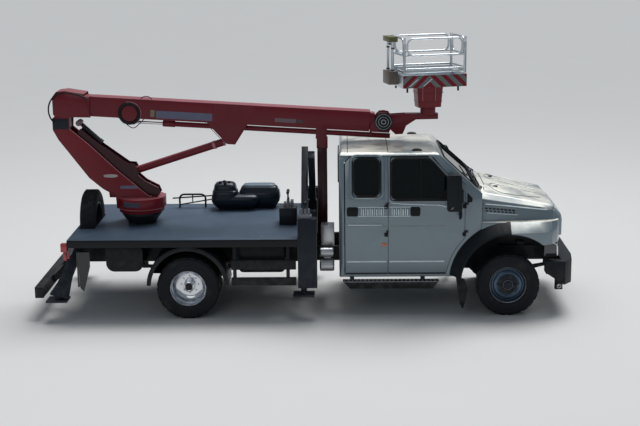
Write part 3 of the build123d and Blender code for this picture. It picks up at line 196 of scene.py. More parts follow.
class Finish:
    """A material whose nodes are made one by one, around one shader."""

    made = {}

    def __init__(self, name, colour, roughness, metallic=0.0, coat=0.0):
        self.material = bpy.data.materials.new(name)
        self.material.use_nodes = True
        self.tree = self.material.node_tree
        self.shader = self.tree.nodes["Principled BSDF"]
        self.set("Base Color", (*colour, 1.0))
        self.set("Roughness", roughness)
        self.set("Metallic", metallic)
        self.set("Coat Weight", coat)
        self.set("Coat Roughness", 0.06)
        self.set("Specular IOR Level", 0.5 if metallic or coat > 0.5 else 0.2)
        self.colour = colour
        self.rough = roughness
        self.position = self.node("ShaderNodeTexCoord").outputs["Object"]
        Finish.made[name] = self

    def node(self, kind, settings=None, sockets=None):
        return add_node(self.tree, kind, settings, sockets)

    def set(self, socket, value):
        """Gives the shader a number or a colour, or links what varies to it."""
        fill(self.tree, self.shader.inputs[socket], value)

    def axis(self, letter, shift=0.0):
        """A coordinate of the surface, counted from a shift."""
        split = self.node("ShaderNodeSeparateXYZ", None, {0: self.position})
        return Value(self, split.outputs[letter]) - shift

    def stretched(self, scale):
        """The surface's place, scaled apart along each axis."""
        mapping = self.node(
            "ShaderNodeMapping", {"vector_type": "POINT"}, {"Vector": self.position, "Scale": scale}
        )
        return mapping.outputs[0]

    def cloud(self, scale, detail=3.0, rough=0.55, vector=None):
        """Noise between 0 and 1."""
        node = self.node(
            "ShaderNodeTexNoise",
            {"noise_dimensions": "3D"},
            {"Vector": vector or self.position, "Scale": scale, "Detail": detail, "Roughness": rough},
        )
        return Value(self, node.outputs[0])

    def cells(self, scale):
        """Distance to the nearest of scattered points."""
        node = self.node(
            "ShaderNodeTexVoronoi", {"feature": "F1"}, {"Vector": self.position, "Scale": scale}
        )
        return Value(self, node.outputs["Distance"])

    def step(self, value, low, high):
        """0 below one value, 1 above another, and smooth between them."""
        node = self.node(
            "ShaderNodeMapRange",
            {"interpolation_type": "SMOOTHSTEP"},
            {"Value": value, "From Min": low, "From Max": high, "To Min": 0.0, "To Max": 1.0},
        )
        return Value(self, node.outputs[0])

    def blend(self, share, first, second):
        """A mix of two colours."""
        node = self.node(
            "ShaderNodeMix", {"data_type": "RGBA", "blend_type": "MIX"}, {0: share, 6: first, 7: second}
        )
        return node.outputs[2]

    def upward(self):
        """How far the surface faces up."""
        geometry = self.node("ShaderNodeNewGeometry")
        split = self.node("ShaderNodeSeparateXYZ", None, {0: geometry.outputs["Normal"]})
        return Value(self, split.outputs[2])

    def raise_by(self, height, strength=0.4, distance=0.002):
        """Bump from a height."""
        bump = self.node(
            "ShaderNodeBump", None, {"Strength": strength, "Distance": distance, "Height": height}
        )
        self.set("Normal", bump.outputs[0])

    def tinted(self, factor):
        """The finish's own colour, lighter or darker."""
        return (*[min(1.0, channel * factor) for channel in self.colour], 1.0)


def weathered(finish, spread=0.18, dust=0.25, dust_colour=(0.30, 0.28, 0.25, 1.0), low=0.2, high=1.1):
    """Uneven paint with dust that gathers towards the road. Gives the fine grain back."""
    patches = finish.cloud(2.3, 4.0)
    paint = finish.blend(patches, finish.tinted(1.0 - spread), finish.tinted(1.0 + spread))
    height = 1.0 - finish.step(finish.axis("Z"), low, high)
    grime = (height * finish.step(finish.cloud(9.0, 5.0), 0.35, 0.75) * dust).clamped()
    finish.set("Base Color", finish.blend(grime, paint, dust_colour))
    fine = finish.cloud(60.0, 2.0)
    finish.set("Roughness", (fine * 0.12 + (finish.rough - 0.06) + grime * 0.35).clamped())
    return fine


def make_finishes(looks):
    """Every finish of the truck, each from its colour, roughness, metal and coat."""
    cab = Finish("cab_paint", looks.cab_paint, 0.32, 0.35, 0.8)
    patches = cab.cloud(1.7, 3.0)
    paint = cab.blend(patches, cab.tinted(0.93), cab.tinted(1.07))
    flakes = cab.step(cab.cells(420.0), 0.25, 0.6)
    paint = cab.blend(flakes * 0.12, paint, (0.75, 0.80, 0.85, 1.0))
    # Upward faces turn a pale cream: painted highlight on the roof, the bonnet's top and the wings' tops.
    top = cab.step(cab.upward(), 0.55, 0.97) * cab.step(cab.cloud(3.1, 4.0), 0.15, 0.6)
    paint = cab.blend((top * 0.9).clamped(), paint, (*looks.roof_highlight, 1.0))
    low = 1.0 - cab.step(cab.axis("Z"), 0.5, 0.95)
    grime = (low * cab.step(cab.cloud(7.0, 5.0), 0.35, 0.8) * 0.3).clamped()
    cab.set("Base Color", cab.blend(grime, paint, (0.20, 0.20, 0.19, 1.0)))
    cab.set("Roughness", (cab.cloud(45.0) * 0.08 + grime * 0.3 + top * 0.18 + 0.26).clamped())

    for name, colour in (("boom_red", looks.boom_red), ("column_red", looks.column_red)):
        red = Finish(name, colour, 0.36, 0.0, 0.15)
        patches = red.cloud(2.1, 4.0)
        paint = red.blend(patches, red.tinted(0.78), red.tinted(1.22))
        # Upward faces turn a paler pink: partly sun-faded paint, partly a painted highlight.
        faded = red.step(red.upward(), 0.4, 0.95) * 0.35
        paint = red.blend(faded, paint, (0.50, 0.20, 0.22, 1.0))
        scuffs = red.step(red.cloud(26.0, 6.0, 0.7), 0.68, 0.78) * 0.4
        red.set("Base Color", red.blend(scuffs, paint, (0.20, 0.05, 0.06, 1.0)))
        red.set("Roughness", (red.cloud(40.0, 3.0) * 0.16 + scuffs * 0.2 + 0.26).clamped())
        red.raise_by(red.cloud(160.0, 2.0), 0.06, 0.001)

    for name, colour, rough in (
        ("chassis_black", looks.chassis_black, 0.5),
        ("outrigger_blue", looks.outrigger_blue, 0.45),
        ("black_steel", (0.012, 0.014, 0.018), 0.42),
    ):
        steel = Finish(name, colour, rough, 0.0, 0.1)
        steel.raise_by(weathered(steel, 0.25, 0.4, (0.10, 0.10, 0.10, 1.0), 0.2, 1.3), 0.12, 0.001)

    deck = Finish("deck_plate", looks.deck_blue, 0.5, 0.0, 0.1)
    weathered(deck, 0.12, 0.0)
    raised, sunk = (1.0, 1.0, 1.0, 1.0), (0.0, 0.0, 0.0, 1.0)
    studs = deck.node(
        "ShaderNodeTexBrick",
        {"offset": 0.5, "squash": 1.0},
        {"Vector": deck.stretched((34.0, 34.0, 34.0)), "Scale": 1.0, "Mortar Size": 0.16,
         "Brick Width": 1.6, "Row Height": 0.8, "Mortar Smooth": 0.6,
         "Color1": raised, "Color2": raised, "Mortar": sunk},
    )
    # Faces that don't face up go near black: painted shade on the deck's sides and underside.
    flat = deck.step(deck.upward(), 0.9, 0.99)
    worn = deck.step(deck.cloud(1.4, 5.0), 0.42, 0.7)
    paint = deck.blend(worn * 0.5, deck.tinted(0.9), deck.tinted(1.3))
    deck.set("Base Color", deck.blend(flat, (0.006, 0.008, 0.011, 1.0), paint))
    tread = Value(deck, deck.node("ShaderNodeSeparateColor", None, {0: studs.outputs[0]}).outputs[0])
    deck.raise_by(tread * flat, 0.5, 0.003)

    tyre = Finish("tyre_rubber", looks.tyre_black, 0.78)
    marks = tyre.cloud(14.0, 5.0)
    grey = tyre.blend(marks, tyre.tinted(0.7), tyre.tinted(1.6))
    dust = tyre.step(tyre.cloud(5.0, 4.0), 0.5, 0.8) * 0.35
    tyre.set("Base Color", tyre.blend(dust, grey, (0.07, 0.065, 0.06, 1.0)))
    tyre.set("Roughness", marks * 0.15 + 0.68)
    tyre.raise_by(tyre.cloud(240.0, 2.0), 0.2, 0.001)

    for name, colour, rough, metallic in (
        ("wheel_chrome", (0.72, 0.74, 0.77), 0.13, 1.0),
        ("wheel_blue", looks.wheel_blue, 0.22, 0.85),
        ("polished_rod", (0.80, 0.81, 0.83), 0.10, 1.0),
        ("exhaust_steel", (0.50, 0.51, 0.52), 0.30, 1.0),
        ("platform_aluminium", (0.62, 0.66, 0.69), 0.28, 0.9),
        ("bare_steel", (0.40, 0.41, 0.43), 0.38, 0.9),
    ):
        metal = Finish(name, colour, rough, metallic)
        smears = metal.cloud(11.0, 5.0)
        metal.set("Base Color", metal.blend(smears, metal.tinted(0.82), metal.tinted(1.08)))
        brushed = metal.cloud(30.0, 3.0, 0.6, metal.stretched((1.0, 9.0, 9.0)))
        metal.set("Roughness", (brushed * 0.2 + smears * 0.1 + (rough - 0.13)).clamped())

    for name, colour, rough in (
        ("black_plastic", looks.plastic_black, 0.48),
        ("rubber_seal", (0.010, 0.011, 0.012), 0.6),
        ("hose_rubber", (0.012, 0.012, 0.014), 0.45),
        ("box_plastic", looks.box_blue, 0.34),
    ):
        plastic = Finish(name, colour, rough, 0.0, 0.15 if name == "box_plastic" else 0.0)
        weathered(plastic, 0.15, 0.25, (0.12, 0.12, 0.12, 1.0), 0.2, 1.0)
        plastic.raise_by(plastic.cloud(320.0, 2.0), 0.15, 0.0006)

    iron = Finish("engine_iron", (0.10, 0.10, 0.11), 0.7, 0.4)
    weathered(iron, 0.3, 0.3)
    iron.raise_by(iron.cloud(80.0, 4.0), 0.5, 0.003)

    cloth = Finish("seat_cloth", (0.035, 0.037, 0.042), 0.9)
    weave = cloth.node(
        "ShaderNodeTexWave", {"wave_type": "BANDS"},
        {"Vector": cloth.position, "Scale": 220.0, "Distortion": 1.0},
    )
    threads = Value(cloth, weave.outputs["Fac"])
    cloth.set("Base Color", cloth.blend(threads * 0.5, cloth.tinted(0.8), cloth.tinted(1.5)))
    cloth.raise_by(threads, 0.3, 0.001)

    glass = Finish("window_glass", (0.003, 0.006, 0.006), 0.03, 0.0, 0.25)
    glass.set("Alpha", 0.9)
    glass.set("Roughness", (glass.cloud(3.0, 2.0) * 0.05 + 0.02).clamped())
    glass.set("IOR", 1.5)

    lens = Finish("lamp_glass", (0.045, 0.052, 0.06), 0.06, 0.2, 1.0)
    flutes = lens.node(
        "ShaderNodeTexWave", {"wave_type": "BANDS", "bands_direction": "Y"},
        {"Vector": lens.position, "Scale": 26.0},
    )
    lens.raise_by(Value(lens, flutes.outputs["Fac"]), 0.25, 0.002)
    for name, colour in (("orange_lens", (0.80, 0.14, 0.015)), ("red_lens", (0.42, 0.01, 0.012))):
        lamp = Finish(name, colour, 0.16, 0.0, 0.9)
        ribs = lamp.node(
            "ShaderNodeTexWave", {"wave_type": "BANDS", "bands_direction": "Z"},
            {"Vector": lamp.position, "Scale": 60.0},
        )
        height = Value(lamp, ribs.outputs["Fac"])
        lamp.set("Base Color", lamp.blend(height, lamp.tinted(0.75), lamp.tinted(1.1)))
        lamp.raise_by(height, 0.2, 0.001)

    silver = Finish("mirror_silver", (0.78, 0.80, 0.82), 0.03, 1.0)
    silver.set("Roughness", (silver.cloud(8.0, 2.0) * 0.04 + 0.02).clamped())

    for name, colour in (
        ("plate_violet", (0.115, 0.120, 0.185)),
        ("plate_rose", (0.160, 0.105, 0.120)),
        ("plate_pale", (0.42, 0.38, 0.36)),
        ("plate_sand", (0.20, 0.17, 0.10)),
        ("control_olive", (0.115, 0.120, 0.045)),
        ("control_brown", (0.115, 0.095, 0.080)),
        # Pale pink for edges, rims and collars on red parts: painted highlight.
        ("worn_edge", (0.42, 0.17, 0.19)),
        ("column_dark", (0.040, 0.006, 0.010)),
        ("lever_grey", (0.17, 0.17, 0.20)),
        ("gusset_grey", (0.055, 0.060, 0.060)),
        ("white_cap", (0.70, 0.72, 0.74)),
        ("box_lid", (0.13, 0.17, 0.21)),
        # Pale silver for ribs, creases and lines on the cab and wings: painted highlight.
        ("bright_crease", (0.72, 0.80, 0.84)),
    ):
        plate = Finish(name, colour, 0.42, 0.0, 0.2)
        faded = plate.cloud(9.0, 4.0)
        plate.set("Base Color", plate.blend(faded, plate.tinted(0.8), plate.tinted(1.2)))
        plate.set("Roughness", (faded * 0.2 + 0.32).clamped())

    stripes = Finish("warning_stripes", (0.30, 0.01, 0.02), 0.42)
    board_middle = 3.26
    aside = stripes.axis("X", AXLE_X + PLATFORM_X).maths("ABSOLUTE")
    slope = aside + stripes.axis("Z", board_middle)
    band = (slope * 6.2).maths("FRACT")
    red = stripes.step(band, 0.46, 0.50) * (1.0 - stripes.step(band, 0.96, 1.0))
    patches = stripes.cloud(25.0, 4.0)
    # The pale bands are a dark grey-green: painted shade on the board's pale stripes.
    pale = stripes.blend(patches, (0.10, 0.13, 0.125, 1.0), (0.16, 0.19, 0.18, 1.0))
    stripes.set("Base Color", stripes.blend(red, pale, (0.17, 0.006, 0.016, 1.0)))


def body_of(node):
    """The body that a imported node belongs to."""
    return frame["nodes"][node]["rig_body"]


def put(bm, name, finish, node, smooth=30.0):
    """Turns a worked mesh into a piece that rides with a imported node."""
    mesh = bpy.data.meshes.new(name)
    bm.normal_update()
    for face in bm.faces:
        face.smooth = True
    limit = math.radians(smooth)
    for edge in bm.edges:
        edge.smooth = len(edge.link_faces) == 2 and edge.calc_face_angle(0.0) < limit
    bm.to_mesh(mesh)
    bm.free()
    piece = bpy.data.objects.new(name, mesh)
    bpy.context.scene.collection.objects.link(piece)
    for each in [finish] if isinstance(finish, str) else finish:
        mesh.materials.append(Finish.made[each].material)
    if node:
        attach(piece, body_of(node))
    return piece


def coat_node(node, finish):
    """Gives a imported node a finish."""
    slots = frame["nodes"][node].data.materials
    material = Finish.made[finish].material
    if not slots:
        slots.append(material)
    for index in range(len(slots)):
        slots[index] = material


def close_cuts(bm, gap=0.0005):
    """Joins solids that thin cuts part: the walls of each cut go, and its edges merge."""
    tree = BVHTree.FromBMesh(bm)
    walls = []
    for face in bm.faces:
        start = face.calc_center_median() + face.normal * 0.00002
        spot, normal, index, distance = tree.ray_cast(start, face.normal, gap)
        if spot is not None and normal.dot(face.normal) < -0.9:
            walls.append(face)
    bmesh.ops.delete(bm, geom=walls, context="FACES")
    bmesh.ops.remove_doubles(bm, verts=bm.verts, dist=gap)


def worked_copy(node, width, segments=2, angle=32.0, cuts=False):
    """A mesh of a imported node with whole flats, and with rounded edges where faces turn by an angle."""
    bm = bmesh.new()
    bm.from_mesh(frame["nodes"][node].data)
    bmesh.ops.remove_doubles(bm, verts=bm.verts, dist=0.00002)
    bm.normal_update()
    if cuts:
        close_cuts(bm)
    bmesh.ops.dissolve_limit(
        bm, angle_limit=math.radians(0.6), verts=bm.verts, edges=bm.edges, use_dissolve_boundaries=False
    )
    if width:
        limit = math.radians(angle)
        sharp = [edge for edge in bm.edges if len(edge.link_faces) == 2 and edge.calc_face_angle(0.0) > limit]
        bmesh.ops.bevel(
            bm, geom=sharp, offset=width, offset_type="OFFSET", segments=segments, profile=0.5,
            affect="EDGES", material=-1, clamp_overlap=True, loop_slide=True,
        )
    return bm


def dress(node, finish, width=0.003, segments=2, angle=32.0, pick=None, cuts=False):
    """A worked copy in the node's place. pick gives the finish of a face where there are several."""
    bm = worked_copy(node, width, segments, angle, cuts)
    if pick:
        for face in bm.faces:
            middle = face.calc_center_median()
            face.material_index = pick(middle - Vector((AXLE_X, 0.0, 0.0)), face.normal)
    piece = put(bm, node + "_dressed", finish, node)
    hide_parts(node)
    return piece


def spaced(points, step=0.12):
    """Points of a path, with more between those that lie far apart."""
    path = []
    for start, end in zip(points, points[1:]):
        count = max(1, round(math.dist(start, end) / step))
        for index in range(count):
            path.append([a + (b - a) * (index / count) for a, b in zip(start, end)])
    return path + [points[-1]]


class Skin:
    """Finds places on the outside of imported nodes."""

    def __init__(self, *nodes):
        corners, faces = [], []
        for node in nodes:
            mesh = frame["nodes"][node].data
            start = len(corners)
            faces += [[start + index for index in face.vertices] for face in mesh.polygons]
            corners += [vertex.co.copy() for vertex in mesh.vertices]
        self.tree = BVHTree.FromPolygons(corners, faces)

    def found(self, start, direction, lift):
        """The place that a ray meets first, lifted off the surface, or else the nearest one."""
        spot = self.tree.ray_cast(start, direction)[0]
        if spot is None:
            spot = self.tree.find_nearest(start + direction * 2.1)[0]
        return spot - direction * lift

    def side(self, x, z, hand, lift=0.0):
        """The outermost place at a point of the side view, from the front axle."""
        return self.found(place(x, hand * 3.0, z), Vector((0.0, -hand, 0.0)), lift)

    def top(self, x, y, lift=0.0):
        """The uppermost place at a point of the plan."""
        return self.found(place(x, y, 5.0), Vector((0.0, 0.0, -1.0)), lift)

    def line(self, points, hand, lift=0.0, closed=False):
        """A path on the side's skin through points of the side view."""
        spots = spaced(points + points[:1] if closed else points)
        path = [self.side(x, z, hand, lift) for x, z in spots]
        return path[:-1] if closed else path

    def ridge(self, points, lift=0.0):
        """A path on the upper skin through points of the plan."""
        return [self.top(x, y, lift) for x, y in spaced(points)]


def sided(profile, hand):
    """A wheel's profile, turned outwards on either side of the truck."""
    return [(radius, hand * out) for radius, out in profile]


def spun(profile, centre, steps=64, axis=LEFTWARD):
    """A round shape from pairs of radius and distance along its axis."""
    direction = Vector(axis)
    out = Vector((0.0, 0.0, 1.0)) if abs(direction.z) < 0.9 else Vector((1.0, 0.0, 0.0))
    out = (out - direction * out.dot(direction)).normalized()
    bm = bmesh.new()
    points = [bm.verts.new(centre + out * radius + direction * along) for radius, along in profile]
    edges = [bm.edges.new(pair) for pair in zip(points, points[1:])]
    bmesh.ops.spin(
        bm, geom=points + edges, cent=centre, axis=direction, angle=math.tau, steps=steps,
        use_merge=True, use_duplicate=False,
    )
    bmesh.ops.remove_doubles(bm, verts=bm.verts, dist=0.00005)
    bmesh.ops.recalc_face_normals(bm, faces=bm.faces)
    return bm


def join(bm, other):
    """Moves a mesh that is being made into another one."""
    part = bpy.data.meshes.new("part")
    other.to_mesh(part)
    other.free()
    bm.from_mesh(part)
    bpy.data.meshes.remove(part)


def add_box(bm, low, high, bevel=0.0, segments=2):
    """A box between two corners, its edges rounded."""
    middle = (Vector(low) + Vector(high)) / 2
    add_slab(bm, middle, (FORWARD, LEFTWARD, UPWARD), Vector(high) - Vector(low), bevel, segments)


def add_rod(bm, start, end, radius, sides=16):
    """A round rod between two points."""
    start, end = Vector(start), Vector(end)
    run = end - start
    matrix = Matrix.Translation((start + end) / 2) @ run.to_track_quat("Z", "Y").to_matrix().to_4x4()
    bmesh.ops.create_cone(
        bm, cap_ends=True, segments=sides, radius1=radius, radius2=radius, depth=run.length, matrix=matrix
    )


def add_plate(bm, points, thickness, direction):
    """A flat plate with the given corners, thickened along a direction."""
    verts = [bm.verts.new(point) for point in points]
    face = bm.faces.new(verts)
    made = bmesh.ops.extrude_face_region(bm, geom=[face])
    moved = [item for item in made["geom"] if isinstance(item, bmesh.types.BMVert)]
    bmesh.ops.translate(bm, verts=moved, vec=Vector(direction) * thickness)
    bmesh.ops.recalc_face_normals(bm, faces=bm.faces)


def add_tube(bm, points, radius, corner=0.05, closed=False, sides=3):
    """A bent tube along points, its corners turned on smooth curves."""
    curve = bpy.data.curves.new("run", "CURVE")
    curve.dimensions = "3D"
    curve.bevel_depth = radius
    curve.bevel_resolution = sides
    curve.use_fill_caps = True
    curve.resolution_u = 6
    count = len(points)
    knots = []
    for index, point in enumerate(points):
        if not closed and index in (0, count - 1):
            knots.append((point, point, point))
            continue
        before = Vector(points[index - 1]) - point
        after = Vector(points[(index + 1) % count]) - point
        reach = min(corner, before.length * 0.49, after.length * 0.49)
        first = point + before.normalized() * reach
        second = point + after.normalized() * reach
        knots.append((first, first, first.lerp(point, 0.55)))
        knots.append((second, second.lerp(point, 0.55), second))
    spline = curve.splines.new("BEZIER")
    spline.bezier_points.add(len(knots) - 1)
    for knot, (where, left, right) in zip(spline.bezier_points, knots):
        knot.handle_left_type = "FREE"
        knot.handle_right_type = "FREE"
        knot.co, knot.handle_left, knot.handle_right = where, left, right
    spline.use_cyclic_u = closed
    holder = bpy.data.objects.new("run", curve)
    mesh = bpy.data.meshes.new_from_object(holder)
    bm.from_mesh(mesh)
    bpy.data.objects.remove(holder)
    bpy.data.curves.remove(curve)
    bpy.data.meshes.remove(mesh)


def add_pad(bm, low, high, bevel, segments=3):
    """A rounded box between two corners given from the front axle, in any order."""
    pairs = [sorted(pair) for pair in zip(low, high)]
    add_box(bm, place(*[pair[0] for pair in pairs]), place(*[pair[1] for pair in pairs]), bevel, segments)


def add_slab(bm, centre, axes, size, bevel=0.0, segments=2):
    """A rounded box turned to its own axes."""
    turn = Matrix(axes).transposed().to_4x4()
    matrix = Matrix.Translation(centre) @ turn @ Matrix.Diagonal((*size, 1.0))
    made = bmesh.ops.create_cube(bm, size=1.0, matrix=matrix)
    if bevel:
        edges = list({edge for vert in made["verts"] for edge in vert.link_edges})
        bmesh.ops.bevel(
            bm, geom=edges, offset=bevel, offset_type="OFFSET", segments=segments, profile=0.5,
            affect="EDGES", material=-1, clamp_overlap=True,
        )


def add_beam(bm, backs, acrosses, ups, bevel=0.001, segments=1):
    """A rounded box along the boom: back from its head, across, and up from its middle."""
    spans = [sorted(pair) for pair in (backs, acrosses, ups)]
    middle = boom_place(*[sum(pair) / 2 for pair in spans])
    add_slab(bm, middle, BOOM_AXES, [pair[1] - pair[0] for pair in spans], bevel, segments)


def platform_place(x, y, z):
    """A point in the platform's own turned frame."""
    along, across, up = [Vector(axis) for axis in PLATFORM_AXES]
    return place(PLATFORM_X, 0.0, 0.0) + along * x + across * y + up * z


def add_platform_pad(bm, xs, ys, zs, bevel=0.001, segments=1):
    """A rounded box in the platform's own turned frame."""
    spans = [sorted(pair) for pair in (xs, ys, zs)]
    middle = platform_place(*[sum(pair) / 2 for pair in spans])
    add_slab(bm, middle, PLATFORM_AXES, [pair[1] - pair[0] for pair in spans], bevel, segments)


def add_side_plate(bm, outline, near, thickness):
    """A flat plate in the side view: its outline, its inner side, and its thickness outwards."""
    direction = Vector((0.0, math.copysign(1.0, near), 0.0))
    add_plate(bm, [place(x, near, z) for x, z in outline], thickness, direction)


def rounded_outline(middle, half, power, count):
    """Corners of an oval that nears a rounded rectangle as its power grows."""
    outline = []
    for index in range(count):
        turn = math.tau * (index + 0.5) / count
        parts = (math.cos(turn), math.sin(turn))
        shares = [math.copysign(abs(part) ** (2.0 / power), part) for part in parts]
        outline.append([centre + reach * share for centre, reach, share in zip(middle, half, shares)])
    return outline


def add_moulding(bm, xs, ys, levels, power=4.0, count=40):
    """A rounded form from levels, each a height and how far it is set in."""
    middle = (sum(xs) / 2, sum(ys) / 2)
    rings = []
    for height, inset in levels:
        half = ((xs[1] - xs[0]) / 2 - inset, (ys[1] - ys[0]) / 2 - inset)
        outline = rounded_outline(middle, half, power, count)
        rings.append([bm.verts.new(place(x, y, height)) for x, y in outline])
    for low, high in zip(rings, rings[1:]):
        for index in range(count):
            after = (index + 1) % count
            bm.faces.new((low[index], low[after], high[after], high[index]))
    bm.faces.new(list(reversed(rings[0])))
    bm.faces.new(rings[-1])


def hose(name, points, radius, node):
    """A hose along the control points of its smooth route; its length is summed along the route."""
    curve = bpy.data.curves.new(name + "_route", "CURVE")
    curve.dimensions = "3D"
    curve.resolution_u = 10
    spline = curve.splines.new("NURBS")
    spline.points.add(len(points) - 1)
    for knot, point in zip(spline.points, points):
        knot.co = (*point, 1.0)
    spline.order_u = 3
    spline.use_endpoint_u = True
    holder = bpy.data.objects.new(name + "_route", curve)
    line = bpy.data.meshes.new_from_object(holder)
    route = [vertex.co.copy() for vertex in line.vertices]
    curve.bevel_depth = radius
    curve.bevel_resolution = 5
    curve.use_fill_caps = True
    tube = bpy.data.meshes.new_from_object(holder)
    bm = bmesh.new()
    bm.from_mesh(tube)
    bmesh.ops.remove_doubles(bm, verts=bm.verts, dist=0.00001)
    for mesh in (line, tube):
        bpy.data.meshes.remove(mesh)
    bpy.data.objects.remove(holder)
    bpy.data.curves.remove(curve)
    piece = put(bm, name, "hose_rubber", node, smooth=60.0)
    length = sum((end - start).length for start, end in zip(route, route[1:]))
    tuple(route[0])
    return piece


def add_dome(bm, centre, size, rings=10):
    """A flattened ball."""
    matrix = Matrix.Translation(centre) @ Matrix.Diagonal((*size, 1.0))
    bmesh.ops.create_uvsphere(bm, u_segments=2 * rings, v_segments=rings, radius=1.0, matrix=matrix)


def add_disc(bm, profile, centre, axis, steps=48):
    """A round shape joined to a mesh that is being made."""
    join(bm, spun(profile, centre, steps, axis))


class TruckLooks(bpy.types.PropertyGroup):
    """Colours that a user would change."""

    cab_paint: bpy.props.FloatVectorProperty(
        name="Cab paint", description="Silver blue of the cab, bonnet and wings",
        subtype="COLOR", default=(0.112, 0.162, 0.192), min=0.0, max=1.0,
    )
    # Pale cream painted on the upward faces of the cab, bonnet and wings: painted highlight.
    roof_highlight: bpy.props.FloatVectorProperty(
        name="Roof highlight", description="Pale highlight on the roof and on the bonnet's top",
        subtype="COLOR", default=(0.86, 0.84, 0.74), min=0.0, max=1.0,
    )
    boom_red: bpy.props.FloatVectorProperty(
        name="Boom red", description="Dark red of the boom",
        subtype="COLOR", default=(0.140, 0.008, 0.016), min=0.0, max=1.0,
    )
    column_red: bpy.props.FloatVectorProperty(
        name="Column red", description="Red of the slewing column",
        subtype="COLOR", default=(0.165, 0.010, 0.018), min=0.0, max=1.0,
    )
    chassis_black: bpy.props.FloatVectorProperty(
        name="Chassis black", description="Paint of the frame, guards and axles",
        subtype="COLOR", default=(0.005, 0.0075, 0.010), min=0.0, max=1.0,
    )
    outrigger_blue: bpy.props.FloatVectorProperty(
        name="Outrigger blue", description="Dark blue of the rear outriggers and the posts",
        subtype="COLOR", default=(0.008, 0.013, 0.021), min=0.0, max=1.0,
    )
    deck_blue: bpy.props.FloatVectorProperty(
        name="Deck blue", description="Grey blue of the deck's plate",
        subtype="COLOR", default=(0.060, 0.090, 0.132), min=0.0, max=1.0,
    )
    wheel_blue: bpy.props.FloatVectorProperty(
        name="Front wheel blue", description="Blue silver of the front wheels",
        subtype="COLOR", default=(0.075, 0.110, 0.155), min=0.0, max=1.0,
    )
    tyre_black: bpy.props.FloatVectorProperty(
        name="Tyre black", description="Rubber of the tyres",
        subtype="COLOR", default=(0.012, 0.013, 0.016), min=0.0, max=1.0,
    )
    plastic_black: bpy.props.FloatVectorProperty(
        name="Trim black", description="Plastic of the bumper, flares and mirrors",
        subtype="COLOR", default=(0.006, 0.009, 0.012), min=0.0, max=1.0,
    )
    box_blue: bpy.props.FloatVectorProperty(
        name="Box blue", description="Moulded boxes on the deck",
        subtype="COLOR", default=(0.010, 0.016, 0.026), min=0.0, max=1.0,
    )


class TruckSizes(bpy.types.PropertyGroup):
    """Sizes that a user would change."""

    panel_round: bpy.props.FloatProperty(
        name="Panel rounding", description="Width of the rounding on body panels",
        default=0.012, min=0.0, max=0.03, unit="LENGTH",
    )
    steel_round: bpy.props.FloatProperty(
        name="Steel rounding", description="Width of the rounding on plates and sections",
        default=0.004, min=0.0, max=0.01, unit="LENGTH",
    )
    tread_depth: bpy.props.FloatProperty(
        name="Tread depth", description="Depth of the grooves in the tyres",
        default=0.009, min=0.002, max=0.015, unit="LENGTH",
    )


